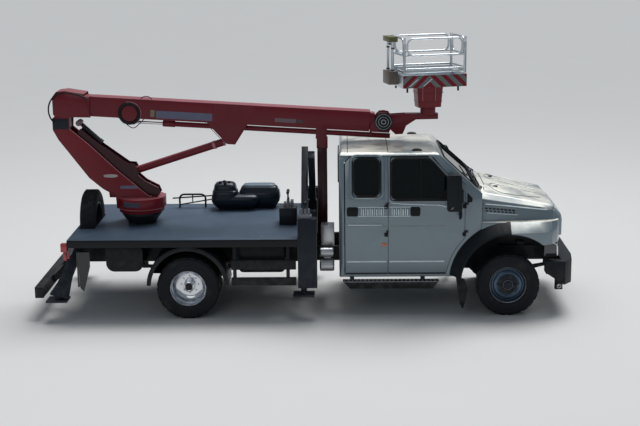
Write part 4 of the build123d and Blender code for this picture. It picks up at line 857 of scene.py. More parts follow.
class TRUCK_OT_stage(bpy.types.Operator):
    """Floor, lights and camera"""

    bl_idname = "truck.stage"
    bl_label = "Stage"

    def execute(self, context):
        scene = context.scene
        scene.view_settings.view_transform = "Standard"
        bm = bmesh.new()
        bmesh.ops.create_grid(bm, x_segments=2, y_segments=2, size=160.0)
        mesh = bpy.data.meshes.new("floor")
        bm.to_mesh(mesh)
        bm.free()
        floor = bpy.data.objects.new("floor", mesh)
        scene.collection.objects.link(floor)
        pale = Finish("floor_pale", (0.58, 0.58, 0.575), 0.9)
        grain = pale.cloud(0.6, 2.0)
        pale.set("Base Color", pale.blend(grain, pale.tinted(0.985), pale.tinted(1.015)))
        floor.data.materials.append(pale.material)

        self.room(scene)
        self.lamps(scene)
        self.camera(scene)
        return {"FINISHED"}

    def room(self, scene):
        """A bluish room that lights the truck, and a pale one that the camera sees."""
        world = bpy.data.worlds.new("studio")
        scene.world = world
        world.use_nodes = True
        tree = world.node_tree
        tree.nodes.clear()
        rays = add_node(tree, "ShaderNodeLightPath").outputs
        seen = add_node(
            tree, "ShaderNodeMath", {"operation": "MAXIMUM"},
            {0: rays["Is Camera Ray"], 1: rays["Is Transmission Ray"]},
        )
        light, shown = [
            add_node(tree, "ShaderNodeBackground", None, {"Color": colour, "Strength": strength})
            for colour, strength in (((0.62, 0.70, 0.80, 1.0), 0.30), ((0.80, 0.81, 0.82, 1.0), 1.0))
        ]
        mixed = add_node(
            tree, "ShaderNodeMixShader", None, {0: seen.outputs[0], 1: light.outputs[0], 2: shown.outputs[0]}
        )
        add_node(tree, "ShaderNodeOutputWorld", None, {0: mixed.outputs[0]})

    def lamps(self, scene):
        """Two soft panels and a wide sun."""
        aimed_at = Vector((0.0, 0.0, 1.2))
        for name, where, size, power in (
            ("sky_panel", (1.0, 3.0, 12.0), 12.0, 650.0),
            ("side_panel", (-4.0, -14.0, 8.0), 7.0, 130.0),
        ):
            lamp = bpy.data.lights.new(name, "AREA")
            lamp.shape = "SQUARE"
            lamp.size = size
            lamp.energy = power
            self.hang(scene, lamp, aimed_at - Vector(where)).location = where
        lamp = bpy.data.lights.new("daylight", "SUN")
        lamp.energy = 2.5
        lamp.angle = 0.6
        self.hang(scene, lamp, Vector((-0.25, -0.42, -1.0)))

    def hang(self, scene, lamp, direction):
        """A lamp's object, turned to shine along a direction."""
        holder = bpy.data.objects.new(lamp.name, lamp)
        holder.rotation_mode = "QUATERNION"
        holder.rotation_quaternion = direction.to_track_quat("-Z", "Y")
        scene.collection.objects.link(holder)
        return holder

    def camera(self, scene):
        """The camera at the photo's place and angle."""
        pitch, swing, roll = CAMERA_PITCH, CAMERA_SWING, CAMERA_ROLL
        level = math.cos(pitch)
        ahead = Vector((math.sin(swing) * level, math.cos(swing) * level, -math.sin(pitch)))
        right = Vector((math.cos(swing), -math.sin(swing), 0.0))
        up = right.cross(ahead)
        across = right * math.cos(roll) - up * math.sin(roll)
        above = right * math.sin(roll) + up * math.cos(roll)
        camera = bpy.data.cameras.new("camera")
        camera.sensor_width = 36.0
        camera.lens = CAMERA_LENS
        holder = bpy.data.objects.new("camera", camera)
        turn = Matrix((across, above, -ahead)).transposed()
        holder.matrix_world = Matrix.Translation(place(*CAMERA_PLACE)) @ turn.to_4x4()
        scene.collection.objects.link(holder)
        scene.camera = holder


class TRUCK_OT_wheels(bpy.types.Operator):
    """Tyres with their tread, rims, hubs and nuts"""

    bl_idname = "truck.wheels"
    bl_label = "Wheels"

    steps = 96

    def tyre(self, centre, axis, node, depth):
        """A tyre whose tread blocks stand out of its base by a depth."""
        low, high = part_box(node)
        outer = (high.z - low.z) / 2
        half = 0.1125
        base = outer - depth
        side = [
            (0.262, -half + 0.028), (0.270, -half + 0.012), (0.285, -half + 0.006),
            (0.315, -half + 0.001), (0.345, -half), (0.348, -half + 0.003), (0.352, -half),
            (0.385, -half + 0.001), (0.388, -half + 0.004), (0.410, -half + 0.006),
            (0.426, -half + 0.016), (base, -half + 0.030),
        ]
        bands = [-0.052, -0.046, -0.018, -0.012]
        profile = side + [(base, band) for band in bands]
        profile += [(radius, -along) for radius, along in reversed(profile)]
        bm = spun(profile, centre, self.steps, axis)
        direction = Vector(axis)
        sideways = direction.cross(Vector(UPWARD))

        def lifted(face):
            """Whether a face of the base is part of a block, and not of a groove."""
            middle = face.calc_center_median() - centre
            along = middle.dot(direction)
            flat = middle - direction * along
            in_groove = any(abs(abs(along) - groove) < 0.002 for groove in (0.049, 0.015))
            if flat.length < base - 0.004 or in_groove:
                return False
            angle = math.atan2(flat.dot(sideways), flat.z) / math.tau * self.steps
            shift = 1 if abs(along) < 0.03 else 0
            return int(math.floor(angle) + shift + (2 if along > 0 else 0)) % 4 != 0

        lugs = [face for face in bm.faces if lifted(face)]
        made = bmesh.ops.extrude_face_region(bm, geom=lugs)
        verts = [item for item in made["geom"] if isinstance(item, bmesh.types.BMVert)]
        for vert in verts:
            offset = vert.co - centre
            along = direction * offset.dot(direction)
            flat = offset - along
            vert.co = centre + along + flat.normalized() * min(outer, flat.length + depth)
        bmesh.ops.delete(bm, geom=lugs, context="FACES_ONLY")
        bmesh.ops.recalc_face_normals(bm, faces=bm.faces)
        return bm

    def execute(self, context):
        depth = context.scene.truck_sizes.tread_depth
        for hand, side in HANDS:
            for row, places in (("front", [SINGLE_WHEEL]), ("rear", [TWIN_INNER, TWIN_OUTER])):
                node = f"tyre_{row}_{side}"
                bm = bmesh.new()
                for out in places:
                    centre = node_middle(node)
                    centre.y = hand * out
                    join(bm, self.tyre(centre, LEFTWARD, node, depth))
                piece = put(bm, node + "_tread", "tyre_rubber", node, 25.0)
                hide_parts(node)
            self.front_rim(hand, side)
            self.rear_rim(hand, side)
        self.spare_wheel(depth)
        return {"FINISHED"}

    def nuts(self, bm, centre, hand, radius, out, size, count=8):
        """Wheel nuts on their studs, in a circle."""
        for index in range(count):
            angle = math.tau * index / count
            start = centre + Vector((math.cos(angle) * radius, hand * (out - 0.012), math.sin(angle) * radius))
            add_rod(bm, start, start + Vector((0.0, hand * 0.030, 0.0)), size, 6)
            add_rod(bm, start, start + Vector((0.0, hand * 0.042, 0.0)), size * 0.5, 10)

    def front_rim(self, hand, side):
        """A front wheel: disc, hub with its nuts, and the bright lips of both."""
        node = "rim_front_" + side
        centre = Vector((AXLE_X, hand * SINGLE_WHEEL, AXLE_Z))
        profile = [
            (0.245, -0.092), (0.262, -0.092), (0.262, -0.080), (0.240, -0.066), (0.240, 0.056),
            (0.258, 0.070), (0.262, 0.090), (0.256, 0.096), (0.250, 0.088), (0.242, 0.072),
            (0.224, 0.050), (0.212, 0.052), (0.200, 0.066), (0.186, 0.074), (0.160, 0.076),
            (0.150, 0.066), (0.140, 0.060), (0.030, 0.060), (0.030, 0.020), (0.120, 0.020),
            (0.190, 0.030), (0.228, 0.020), (0.228, -0.060), (0.245, -0.080), (0.245, -0.092),
        ]
        bm = spun(sided(profile, hand), centre, 72)
        piece = put(bm, node + "_disc", "wheel_blue", node, 35.0)
        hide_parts(node)
        hub = [
            (0.0, 0.096), (0.022, 0.096), (0.030, 0.090), (0.052, 0.088), (0.060, 0.080),
            (0.064, 0.068), (0.070, 0.066), (0.136, 0.064), (0.142, 0.058), (0.0, 0.058),
        ]
        bm = spun(sided(hub, hand), centre, 48)
        self.nuts(bm, centre, hand, 0.105, 0.066, 0.013)
        put(bm, node + "_hub", "outrigger_blue", node, smooth=35.0)
        lip = [(0.248, 0.090), (0.256, 0.099), (0.263, 0.092), (0.257, 0.085), (0.248, 0.090)]
        bm = spun(sided(lip, hand), centre, 72)
        ring = [(0.062, 0.084), (0.066, 0.088), (0.070, 0.084), (0.066, 0.080), (0.062, 0.084)]
        add_disc(bm, sided(ring, hand), centre, LEFTWARD, 40)
        put(bm, node + "_lip", "bare_steel", node, smooth=50.0)

    def rear_rim(self, hand, side):
        """A pair of rear wheels: the outer one's dish, the inner one's drum, nuts, hub and cap."""
        node = "rim_rear_" + side
        outer = Vector((AXLE_X + REAR_AXLE, hand * TWIN_OUTER, AXLE_Z))
        dish = [
            (0.240, -0.092), (0.262, -0.092), (0.262, -0.080), (0.242, -0.066), (0.242, 0.052),
            (0.258, 0.070), (0.262, 0.090), (0.256, 0.096), (0.250, 0.086), (0.238, 0.064),
            (0.232, 0.040), (0.228, -0.050), (0.214, -0.078), (0.190, -0.096), (0.165, -0.104),
            (0.150, -0.106), (0.070, -0.106), (0.070, -0.116), (0.200, -0.116), (0.240, -0.092),
        ]
        bm = spun(sided(dish, hand), outer, 72)
        inner = Vector((AXLE_X + REAR_AXLE, hand * TWIN_INNER, AXLE_Z))
        drum = [
            (0.240, -0.092), (0.262, -0.092), (0.262, -0.080), (0.240, -0.066), (0.240, 0.070),
            (0.262, 0.086), (0.262, 0.092), (0.225, 0.092), (0.225, -0.060), (0.240, -0.092),
        ]
        add_disc(bm, sided(drum, hand), inner, LEFTWARD, 72)
        self.nuts(bm, outer, hand, 0.120, -0.104, 0.014)
        piece = put(bm, node + "_disc", "wheel_chrome", node, 35.0)
        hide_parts(node)
        hub = [
            (0.090, -0.108), (0.086, -0.060), (0.080, -0.010), (0.074, 0.006), (0.060, 0.012),
            (0.052, 0.008), (0.050, -0.004), (0.0, -0.006),
        ]
        put(spun(sided(hub, hand), outer, 48), node + "_hub", "wheel_chrome", node, 35.0)
        plug = [(0.050, -0.010), (0.050, 0.004), (0.044, 0.008), (0.0, 0.008)]
        put(spun(sided(plug, hand), outer, 48), node + "_cap", "black_steel", node, smooth=35.0)

    def spare_wheel(self, depth):
        """The spare wheel, upright between the rails with its disc to the front."""
        node = "spare_wheel"
        centre = node_middle(node)
        bm = self.tyre(centre, FORWARD, node, depth)
        piece = put(bm, "spare_wheel_tyre", "tyre_rubber", node, 25.0)
        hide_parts(node)
        dish = [
            (0.242, -0.098), (0.262, -0.098), (0.262, 0.098), (0.242, 0.098), (0.236, 0.060), (0.220, 0.020),
            (0.190, 0.000), (0.150, -0.012), (0.070, -0.012), (0.070, -0.024), (0.150, -0.024),
            (0.200, -0.014), (0.232, -0.050), (0.242, -0.098),
        ]
        put(spun(dish, centre, 64, FORWARD), "spare_wheel_rim", "chassis_black", node, smooth=35.0)


class TRUCK_OT_cab(bpy.types.Operator):
    """Cab, doors, glass, trim and seats"""

    bl_idname = "truck.cab"
    bl_label = "Cab"

    windows = {
        "front": [(-1.64, 1.69), (-1.64, 2.25), (-1.10, 2.25), (-0.77, 1.88), (-0.77, 1.69)],
        "rear": [(-2.165, 1.74), (-2.165, 2.25), (-1.815, 2.25), (-1.815, 1.74)],
    }
    cups = {"front": (-1.38, -1.24), "rear": (-2.27, -2.11)}
    ribbed = {"front": (-1.66, -1.40), "rear": (-2.09, -1.715)}
    creases = {"front": (-1.67, -0.90), "rear": (-2.27, -1.71)}
    sills = {"front": (-1.685, -0.885), "rear": (-2.285, -1.70)}
    handle_height = 1.51
    door_face = 0.976
    mirror_case = 1.07
    window_lean = 0.145
    window_foot = 1.70
    screen_lean = math.atan2(0.574, 0.630)
    dash_back = -0.85
    seat_width = 0.4
    front_row = -2.3

    def execute(self, context):
        width = context.scene.truck_sizes.panel_round

        def beside_wheel(spot, normal):
            """Black inside the wheel's arch, and paint elsewhere."""
            return 1 if math.hypot(spot.x - ARCH_X, spot.z - ARCH_Z) < ARCH_REACH else 0

        dress("cab_shell", ["cab_paint", "black_plastic"], width, 3, pick=beside_wheel, cuts=True)
        for hand, side in HANDS:
            for row in ("front", "rear"):
                self.door(row, side)
                self.door_trim(row, hand, side)
                coat_node(f"glass_{row}_{side}", "window_glass")
            self.mirror_trim(hand, side)
            self.quarter_panel(hand, side)
        coat_node("cab_glass", "window_glass")
        coat_node("door_hinges", "black_steel")
        self.shell_trim()
        self.wipers()
        self.inside()
        dress("cab_steps", "chassis_black", 0.006, 2)
        self.step_treads()
        return {"FINISHED"}

    def door(self, row, side):
        """A door: its panel in the cab's paint, its mirror's case in plastic with a silvered back face."""

        def pick(spot, normal):
            if abs(spot.y) < self.door_face:
                return 0
            return 2 if normal.x < -0.7 and abs(spot.y) > self.mirror_case else 1

        finishes = ["cab_paint", "black_plastic", "mirror_silver"]
        dress(f"door_{row}_{side}", finishes, 0.005, 2, pick=pick)

    def door_trim(self, row, hand, side):
        """A door's seals, handle cup, ribbed strip, creases and side lamp."""
        door = f"door_{row}_{side}"
        skin = Skin(door, f"glass_{row}_{side}")
        window = self.windows[row]
        pane = skin.side(-1.665 if row == "front" else -2.22, self.window_foot, hand)

        def on_window(points, lift, out=0.0):
            """Places on the upper door's plane, a little outside the window's outline."""
            middle_x = sum(x for x, z in points) / len(points)
            middle_z = sum(z for x, z in points) / len(points)
            path = []
            for x, z in points:
                x += math.copysign(out, x - middle_x)
                z += math.copysign(out, z - middle_z)
                path.append(place(x, pane.y + hand * (lift - (z - self.window_foot) * self.window_lean), z))
            return path

        black = bmesh.new()
        add_tube(black, on_window(window, 0.001), 0.013, 0.07, True)
        add_tube(black, on_window(window, -0.012, -0.022), 0.014, 0.05, True)
        if row == "front":
            add_tube(black, on_window([(-1.23, 1.70), (-1.23, 2.24)], -0.006), 0.013)
            add_tube(black, on_window([(-0.99, 1.70), (-0.80, 1.875)], -0.010), 0.012)
            shade = [(-0.985, 1.70), (-0.775, 1.70), (-0.775, 1.86), (-0.80, 1.875)]
            add_plate(black, on_window(shade, -0.018), 0.008, (0.0, hand, 0.0))
        low, high = self.cups[row]
        out = skin.side(low, self.handle_height, hand).y
        cup = (low - 0.012, out - hand * 0.07, 1.432), (high + 0.012, out + hand * 0.012, 1.590)
        add_pad(black, *cup, 0.060, 6)
        add_pad(black, (low + 0.02, out, 1.505), (high - 0.03, out + hand * 0.024, 1.545), 0.012, 3)
        add_tube(black, skin.line([(x, 0.612) for x in self.sills[row]], hand, 0.001), 0.008)
        put(black, door + "_trim", "rubber_seal", door, smooth=50.0)

        # Pieces in bright get a pale finish as painted highlight: the ribs and the lines along creases, strip
        # and window.
        bright = bmesh.new()
        paint = bmesh.new()
        low, high = self.ribbed[row]
        out = skin.side(low, self.handle_height, hand).y
        add_pad(paint, (low, out - hand * 0.02, 1.452), (high, out + hand * 0.005, 1.572), 0.02, 3)
        x = low + 0.02
        narrow, wide, gap = 0.011, 0.017, 0.017
        rib, top = narrow, 1.566
        while x < high - 0.02:
            add_pad(bright, (x, out, 1.458), (x + rib * 0.7, out + hand * 0.014, top), 0.003, 2)
            x += rib + gap
            rib, top = (wide, 1.552) if rib == narrow else (narrow, 1.566)
        for bm, z, size in ((bright, 0.79, 0.011), (paint, 1.31, 0.007)):
            add_tube(bm, skin.line([(x, z) for x in self.creases[row]], hand), size)
        for z in (1.447, 1.578):
            add_tube(bright, skin.line([(low - 0.02, z), (high + 0.02, z)], hand), 0.0045)
        if row == "rear":
            add_tube(bright, skin.line([(-2.25, 1.325), (-1.78, 1.315)], hand), 0.006)
            add_tube(bright, on_window(window, 0.004, 0.062), 0.007, 0.12, True)
        else:
            line = [(-1.66, 1.640), (-1.50, 1.622), (-1.10, 1.606), (-0.82, 1.600)]
            add_tube(bright, skin.line(line, hand, 0.002), 0.006, 0.10)
        put(bright, door + "_creases", "bright_crease", door, smooth=50.0)
        if row == "rear":
            add_tube(paint, on_window(window, 0.003, 0.050), 0.022, 0.10, True)
            add_tube(paint, skin.line([(-2.22, 1.36), (-1.76, 1.35)], hand), 0.006)
        else:
            accent = [(-1.675, 1.655), (-1.50, 1.638), (-1.10, 1.622), (-0.80, 1.615)]
            add_tube(paint, skin.line(accent, hand), 0.013, 0.10)
            add_tube(paint, on_window([(-1.12, 2.285), (-0.735, 1.875)], 0.002), 0.012)
        put(paint, door + "_press", "cab_paint", door, 50.0)

        if row == "rear":
            lamp = bmesh.new()
            add_dome(lamp, skin.side(-1.745, 1.04, hand), (0.034, 0.017, 0.022))
            put(lamp, f"side_lamp_{side}", "orange_lens", door, smooth=60.0)

    def mirror_trim(self, hand, side):
        """A round near-view mirror below the case, on the arm's lower end."""
        bm = bmesh.new()
        centre = place(-0.70, hand * 1.10, 1.50)
        bowl = [(0.0, 0.030), (0.045, 0.028), (0.070, 0.010), (0.072, -0.008), (0.066, -0.012), (0.0, -0.006)]
        add_disc(bm, bowl, centre, FORWARD, 28)
        add_tube(bm, [place(-0.735, hand * 1.06, 1.645), place(-0.69, hand * 1.08, 1.60), centre], 0.008)
        arm = [(0.97, 1.64), (1.07, 1.66), (1.10, 1.80), (1.07, 1.89), (0.965, 1.875)]
        add_tube(bm, [place(-0.745, hand * y, z) for y, z in arm], 0.013)
        put(bm, f"mirror_{side}_round", "black_plastic", f"door_front_{side}", smooth=40.0)

    def quarter_panel(self, hand, side):
        """The dark three-cornered panel ahead of the front window, in parts for the door and the pillar."""
        door_part = [(-0.735, 1.64), (-0.735, 1.925), (-0.645, 1.832), (-0.614, 1.79), (-0.614, 1.64)]
        pillar_part = [(-0.588, 1.64), (-0.588, 1.775), (-0.515, 1.70), (-0.515, 1.66), (-0.53, 1.64)]
        for node, outline in ((f"door_front_{side}", door_part), ("cab_shell", pillar_part)):
            skin = Skin(node)
            bm = bmesh.new()
            add_plate(bm, [skin.side(x, z, hand, -0.001) for x, z in outline], 0.004, (0.0, hand, 0.0))
            put(bm, f"quarter_{node}_{side}", "black_plastic", node, 40.0)

    def on_screen(self, across, along, ahead=0.0, above=0.0):
        """A place on the windscreen: across from its middle, up along its slope, and off its face."""
        return place(
            -0.66 + ahead - along * math.cos(self.screen_lean), across,
            2.015 + above + along * math.sin(self.screen_lean),
        )

    def shell_trim(self):
        """Roof seams, the seals of the screens, cowls, gutters and pillars."""
        skin = Skin("cab_shell", "door_front_right", "door_rear_right", "door_front_left", "door_rear_left")
        seams = bmesh.new()
        for x in (-2.255, -1.69):
            add_tube(seams, skin.ridge([(x, -0.80), (x, 0.80)], 0.0005), 0.004)
        corners = [(-0.80, -0.32), (-0.72, 0.32), (0.72, 0.32), (0.80, -0.32)]
        add_tube(seams, [self.on_screen(*corner) for corner in corners], 0.015, 0.08, True)
        back = [(-0.45, 1.83), (-0.45, 2.21), (0.45, 2.21), (0.45, 1.83)]
        add_tube(seams, [place(-2.382, y, z) for y, z in back], 0.014, 0.07, True)
        for hand in (-1, 1):
            add_dome(seams, skin.top(-1.28, hand * 0.70), (0.075, 0.042, 0.030))
        put(seams, "cab_seals", "rubber_seal", "cab_shell", smooth=50.0)

        rails = bmesh.new()
        for hand in (-1, 1):
            gutter = [skin.side(x, 2.292, hand, 0.001) for x in (-2.33, -2.0, -1.6, -1.3, -1.12)]
            add_tube(rails, gutter, 0.009, 0.05)
            pillar = [skin.side(x, z, hand, 0.002) for x, z in ((-1.00, 2.262), (-0.80, 2.075), (-0.60, 1.89))]
            add_tube(rails, pillar, 0.012, 0.05)
            add_tube(rails, [skin.side(-2.315, z, hand) for z in (0.66, 1.14, 1.62)], 0.006)
        put(rails, "cab_rails", "cab_paint", "cab_shell", 50.0)

    def wipers(self):
        """Two wipers: an arm that rises off the scuttle, and a blade on the screen."""
        bm = bmesh.new()
        for start, end in ((-0.62, -0.10), (0.10, 0.62)):
            foot = place(-0.42, start + 0.30, 1.815)
            arm = ((start + 0.30, -0.30), ((start + end) / 2, -0.22))
            add_tube(bm, [foot, *[self.on_screen(*spot, 0.035, 0.025) for spot in arm]], 0.007)
            blade = ((start, -0.26), (end, -0.18))
            add_tube(bm, [self.on_screen(*spot, 0.015, 0.012) for spot in blade], 0.009)
        put(bm, "wipers", "black_plastic", "cab_shell", smooth=40.0)

    def step_treads(self):
        """Cleats across both steps, and the steps' rolled outer lip."""
        bm = bmesh.new()
        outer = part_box("cab_steps")[1].y - 0.001
        count = 22
        for hand in (-1, 1):
            for index in range(count):
                x = -2.26 + index * 1.22 / (count - 1)
                add_pad(bm, (x, hand * 0.885, 0.508), (x + 0.022, hand * 0.975, 0.515), 0.003, 1)
            add_tube(bm, [place(x, hand * outer, 0.50) for x in (-2.31, -0.99)], 0.005)
        put(bm, "step_treads", "bare_steel", "cab_steps", smooth=40.0)

    def inside(self):
        """Seats as cushions, and the dashboard and steering wheel as one piece."""
        whole = bmesh.new()
        whole.from_mesh(frame["nodes"]["cab_interior"].data)
        bmesh.ops.remove_doubles(whole, verts=whole.verts, dist=0.00002)
        cushions, seats = [], []
        left = set(whole.faces)
        while left:
            seed = left.pop()
            island, edge_of = [seed], [seed]
            while edge_of:
                for edge in edge_of.pop().edges:
                    near = [face for face in edge.link_faces if face in left]
                    left.difference_update(near)
                    island += near
                    edge_of += near
            spots = [vertex.co for face in island for vertex in face.verts]
            low = Vector([min(spot[axis] for spot in spots) for axis in range(3)])
            high = Vector([max(spot[axis] for spot in spots) for axis in range(3)])
            if (low + high).x / 2 - AXLE_X < self.dash_back and (high - low).y > self.seat_width:
                cushions.append((low, high))
                seats += island
        bmesh.ops.delete(whole, geom=seats, context="FACES")
        bmesh.ops.dissolve_limit(whole, angle_limit=math.radians(0.6), verts=whole.verts, edges=whole.edges)
        dash = put(whole, "dashboard", "black_plastic", "cab_interior")
        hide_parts("cab_interior")

        def place_of(pair):
            """Rear bench first, then left before right, and a seat's back before its base."""
            low = pair[0]
            return low.x - AXLE_X > self.front_row, -round(low.y, 1), -low.z

        for index, (low, high) in enumerate(sorted(cushions, key=place_of)):
            self.cushion(f"seat_cushion_{index + 1}", low, high)

    def cushion(self, name, low, high):
        """A crowned pad whose sides pull in, with sewn channels across its face."""
        bm = bmesh.new()
        add_box(bm, low + Vector((0.006, 0.006, 0.004)), high - Vector((0.006, 0.006, 0.004)), 0.045, 5)
        bmesh.ops.subdivide_edges(
            bm, edges=[edge for edge in bm.edges if edge.calc_length() > 0.12], cuts=14, use_grid_fill=True
        )
        middle, half = (low + high) / 2, (high - low) / 2
        thin = 0 if half.x < half.z else 2
        channels = 0.11
        for vertex in bm.verts:
            offset = vertex.co - middle
            share = [offset[axis] / half[axis] for axis in range(3)]
            spread = max(abs(share[1]), abs(share[2 - thin]))
            crown = max(0.0, 1.0 - spread**4) * 0.004
            groove = abs(((offset.y / channels) % 1.0) - 0.5) * 2.0
            sink = 0.007 * max(0.0, 1.0 - (1.0 - groove) * 7.0) if spread < 0.86 else 0.0
            if abs(share[thin]) > 0.55:
                vertex.co[thin] += math.copysign(crown - sink, share[thin])
        piece = put(bm, name, "seat_cloth", "cab_interior", 60.0)


class TRUCK_OT_nose(bpy.types.Operator):
    """Bonnet, wings, grille, flares, lamps and bumper"""

    bl_idname = "truck.nose"
    bl_label = "Nose"

    def execute(self, context):
        width = context.scene.truck_sizes.panel_round

        def inside_arch(spot, normal):
            """Black on the arch's inner faces, and paint on the wing's outer skin."""
            reach = math.hypot(spot.x - ARCH_X, spot.z - ARCH_Z)
            outward = normal.y * math.copysign(1.0, spot.y)
            return 1 if reach < ARCH_REACH and (outward < 0.3 or abs(spot.y) < 0.85) else 0

        dress("front_wings", ["cab_paint", "black_plastic"], width, 3, 20.0, inside_arch, True)
        dress("bonnet", "cab_paint", width, 3, 20.0)
        dress("arch_flares", "black_plastic", 0.006, 2)
        dress("bumper", "black_plastic", 0.02, 3)
        dress("grille", "black_plastic", 0.003, 2)
        self.lamps()
        self.bonnet_trim()
        self.wing_trim()
        self.liners()
        self.bumper_trim()
        return {"FINISHED"}

    def lamps(self):
        """Headlamps with their bowls and rims, and the red lamps at the tail."""

        def pick(spot, normal):
            return 1 if spot.x < REAR_AXLE else 0

        dress("lamps", ["lamp_glass", "red_lens"], 0.01, 2, pick=pick)
        bm = bmesh.new()
        for hand in (-1, 1):
            for y, z, size in ((0.70, 0.92, 0.055), (0.79, 0.94, 0.040)):
                centre = place(0.694, hand * y, z)
                bowl = [(0.0, 0.014), (size * 0.7, 0.010), (size, 0.0)]
                bowl += [(size + 0.008, 0.004), (size + 0.010, -0.01)]
                add_disc(bm, bowl, centre, FORWARD, 28)
            rim = ((0.61, 0.83), (0.61, 1.025), (0.84, 1.025), (0.84, 0.83))
            add_tube(bm, [place(0.698, hand * y, z) for y, z in rim], 0.010, 0.03, True)
            blade = ((0.60, 0.856, 1.03), (0.70, 0.85, 1.00), (0.705, 0.85, 0.84))
            add_tube(bm, [place(x, hand * y, z) for x, y, z in blade], 0.012, 0.04)
        put(bm, "headlamp_rings", "wheel_chrome", "lamps", smooth=40.0)

    def bonnet_trim(self):
        """Pressed ridges, the washers' nozzles and the seam behind the bonnet."""
        skin = Skin("bonnet")
        paint = bmesh.new()
        dark = bmesh.new()
        for hand in (-1, 1):
            outer = (
                (-0.16, 0.16), (-0.22, 0.30), (-0.20, 0.50), (-0.10, 0.62), (0.10, 0.60), (0.34, 0.50),
                (0.50, 0.40),
            )
            inner = ((-0.16, 0.16), (0.10, 0.14), (0.50, 0.12))
            for ridge, radius in ((outer, 0.011), (inner, 0.009)):
                add_tube(paint, skin.ridge([(x, hand * y) for x, y in ridge]), radius, 0.06)
            nozzle = skin.top(-0.13, hand * 0.36)
            low, high = nozzle - Vector((0.03, 0.018, 0.01)), nozzle + Vector((0.03, 0.018, 0.016))
            add_box(dark, low, high, 0.008, 3)
            seam = [skin.top(x, hand * y, 0.001) for x, y in ((-0.33, 0.66), (-0.30, 0.40), (-0.30, 0.0))]
            add_tube(dark, seam, 0.005, 0.05)
        put(paint, "bonnet_ridges", "cab_paint", "bonnet", 50.0)
        put(dark, "bonnet_nozzles", "rubber_seal", "bonnet", smooth=40.0)

    def wing_trim(self):
        """Shut line, creases in pale paint as painted highlights, and the two rows of slots on each wing."""
        skin = Skin("front_wings", "bonnet")
        bright = bmesh.new()
        paint = bmesh.new()
        dark = bmesh.new()
        for hand in (-1, 1):
            shut = [(-0.33, 1.608), (-0.10, 1.582), (0.25, 1.535), (0.50, 1.503), (0.66, 1.480)]
            add_tube(dark, skin.line(shut, hand, 0.0005), 0.0045, 0.05)
            add_tube(bright, skin.line([(x, z - 0.012) for x, z in shut], hand, 0.002), 0.008, 0.05)
            add_tube(bright, skin.line([(-0.30, 1.470), (0.13, 1.428)], hand, 0.001), 0.005)
            for index in range(8):
                for shift, height, radius in ((0.0, 1.535, 0.011), (0.01, 1.500, 0.009)):
                    x, z = -0.33 + index * 0.055 + shift, height - index * 0.006
                    add_tube(dark, skin.line([(x, z), (x + 0.034, z - 0.004)], hand, 0.001), radius)
            surround = [(-0.36, 1.560), (0.13, 1.508), (0.13, 1.446), (-0.36, 1.498)]
            add_tube(paint, skin.line(surround, hand, 0.0, True), 0.007, 0.03, True)
        put(bright, "wing_lines", "bright_crease", "front_wings", smooth=50.0)
        put(paint, "wing_ridges", "cab_paint", "front_wings", 50.0)
        put(dark, "wing_slots", "rubber_seal", "front_wings", smooth=50.0)

    def liners(self):
        """Rolled edges of the flares, and ribs and sides on the flaps behind the front wheels."""
        bm = bmesh.new()
        radius = 0.705
        for hand in (-1, 1):
            angles = [math.radians(90 + index * 6.6) for index in range(15)]
            add_tube(bm, [
                place(ARCH_X + radius * math.cos(angle), hand * 1.112, 0.505 + radius * math.sin(angle))
                for angle in angles
            ], 0.012, 0.03)
            for index in range(5):
                z = 0.18 + index * 0.05
                x = -0.60 + (z - 0.155) * 0.18
                add_pad(bm, (x - 0.045, hand * 0.985, z), (x - 0.030, hand * 1.105, z + 0.016), 0.003, 1)
        for hand in (-1, 1):
            outline = [(-0.745, 0.60), (-0.62, 0.56), (-0.575, 0.44)]
            outline += [(-0.60, 0.28), (-0.635, 0.14), (-0.685, 0.20)]
            add_side_plate(bm, outline, hand * 1.06, 0.030)
        put(bm, "arch_edges", "black_plastic", "arch_flares", 50.0)

    def bumper_trim(self):
        """Ribs and a top edge on the bumper, and the collars of its tow eyes."""
        bm = bmesh.new()
        for index in range(5):
            z = 0.578 + index * 0.021
            add_pad(bm, (0.892, -0.42, z), (0.905, 0.42, z + 0.009), 0.003, 1)
        for hand in (-1, 1):
            top = ((0.53, 0.985), (0.80, 0.985), (0.90, 0.85), (0.94, 0.56))
            add_tube(bm, [place(x, hand * y, 0.786) for x, y in top], 0.006, 0.05)
        put(bm, "bumper_ribs", "black_plastic", "bumper", 40.0)
        eyes = bmesh.new()
        collar = [(0.017, -0.004), (0.034, -0.004), (0.036, 0.0)]
        collar += [(0.034, 0.004), (0.017, 0.004), (0.017, -0.004)]
        for hand in (-1, 1):
            for y in (0.369, 0.431):
                add_disc(eyes, collar, place(0.82, hand * y, 0.26), LEFTWARD, 24)
        put(eyes, "tow_eye_collars", "bare_steel", "bumper", smooth=40.0)


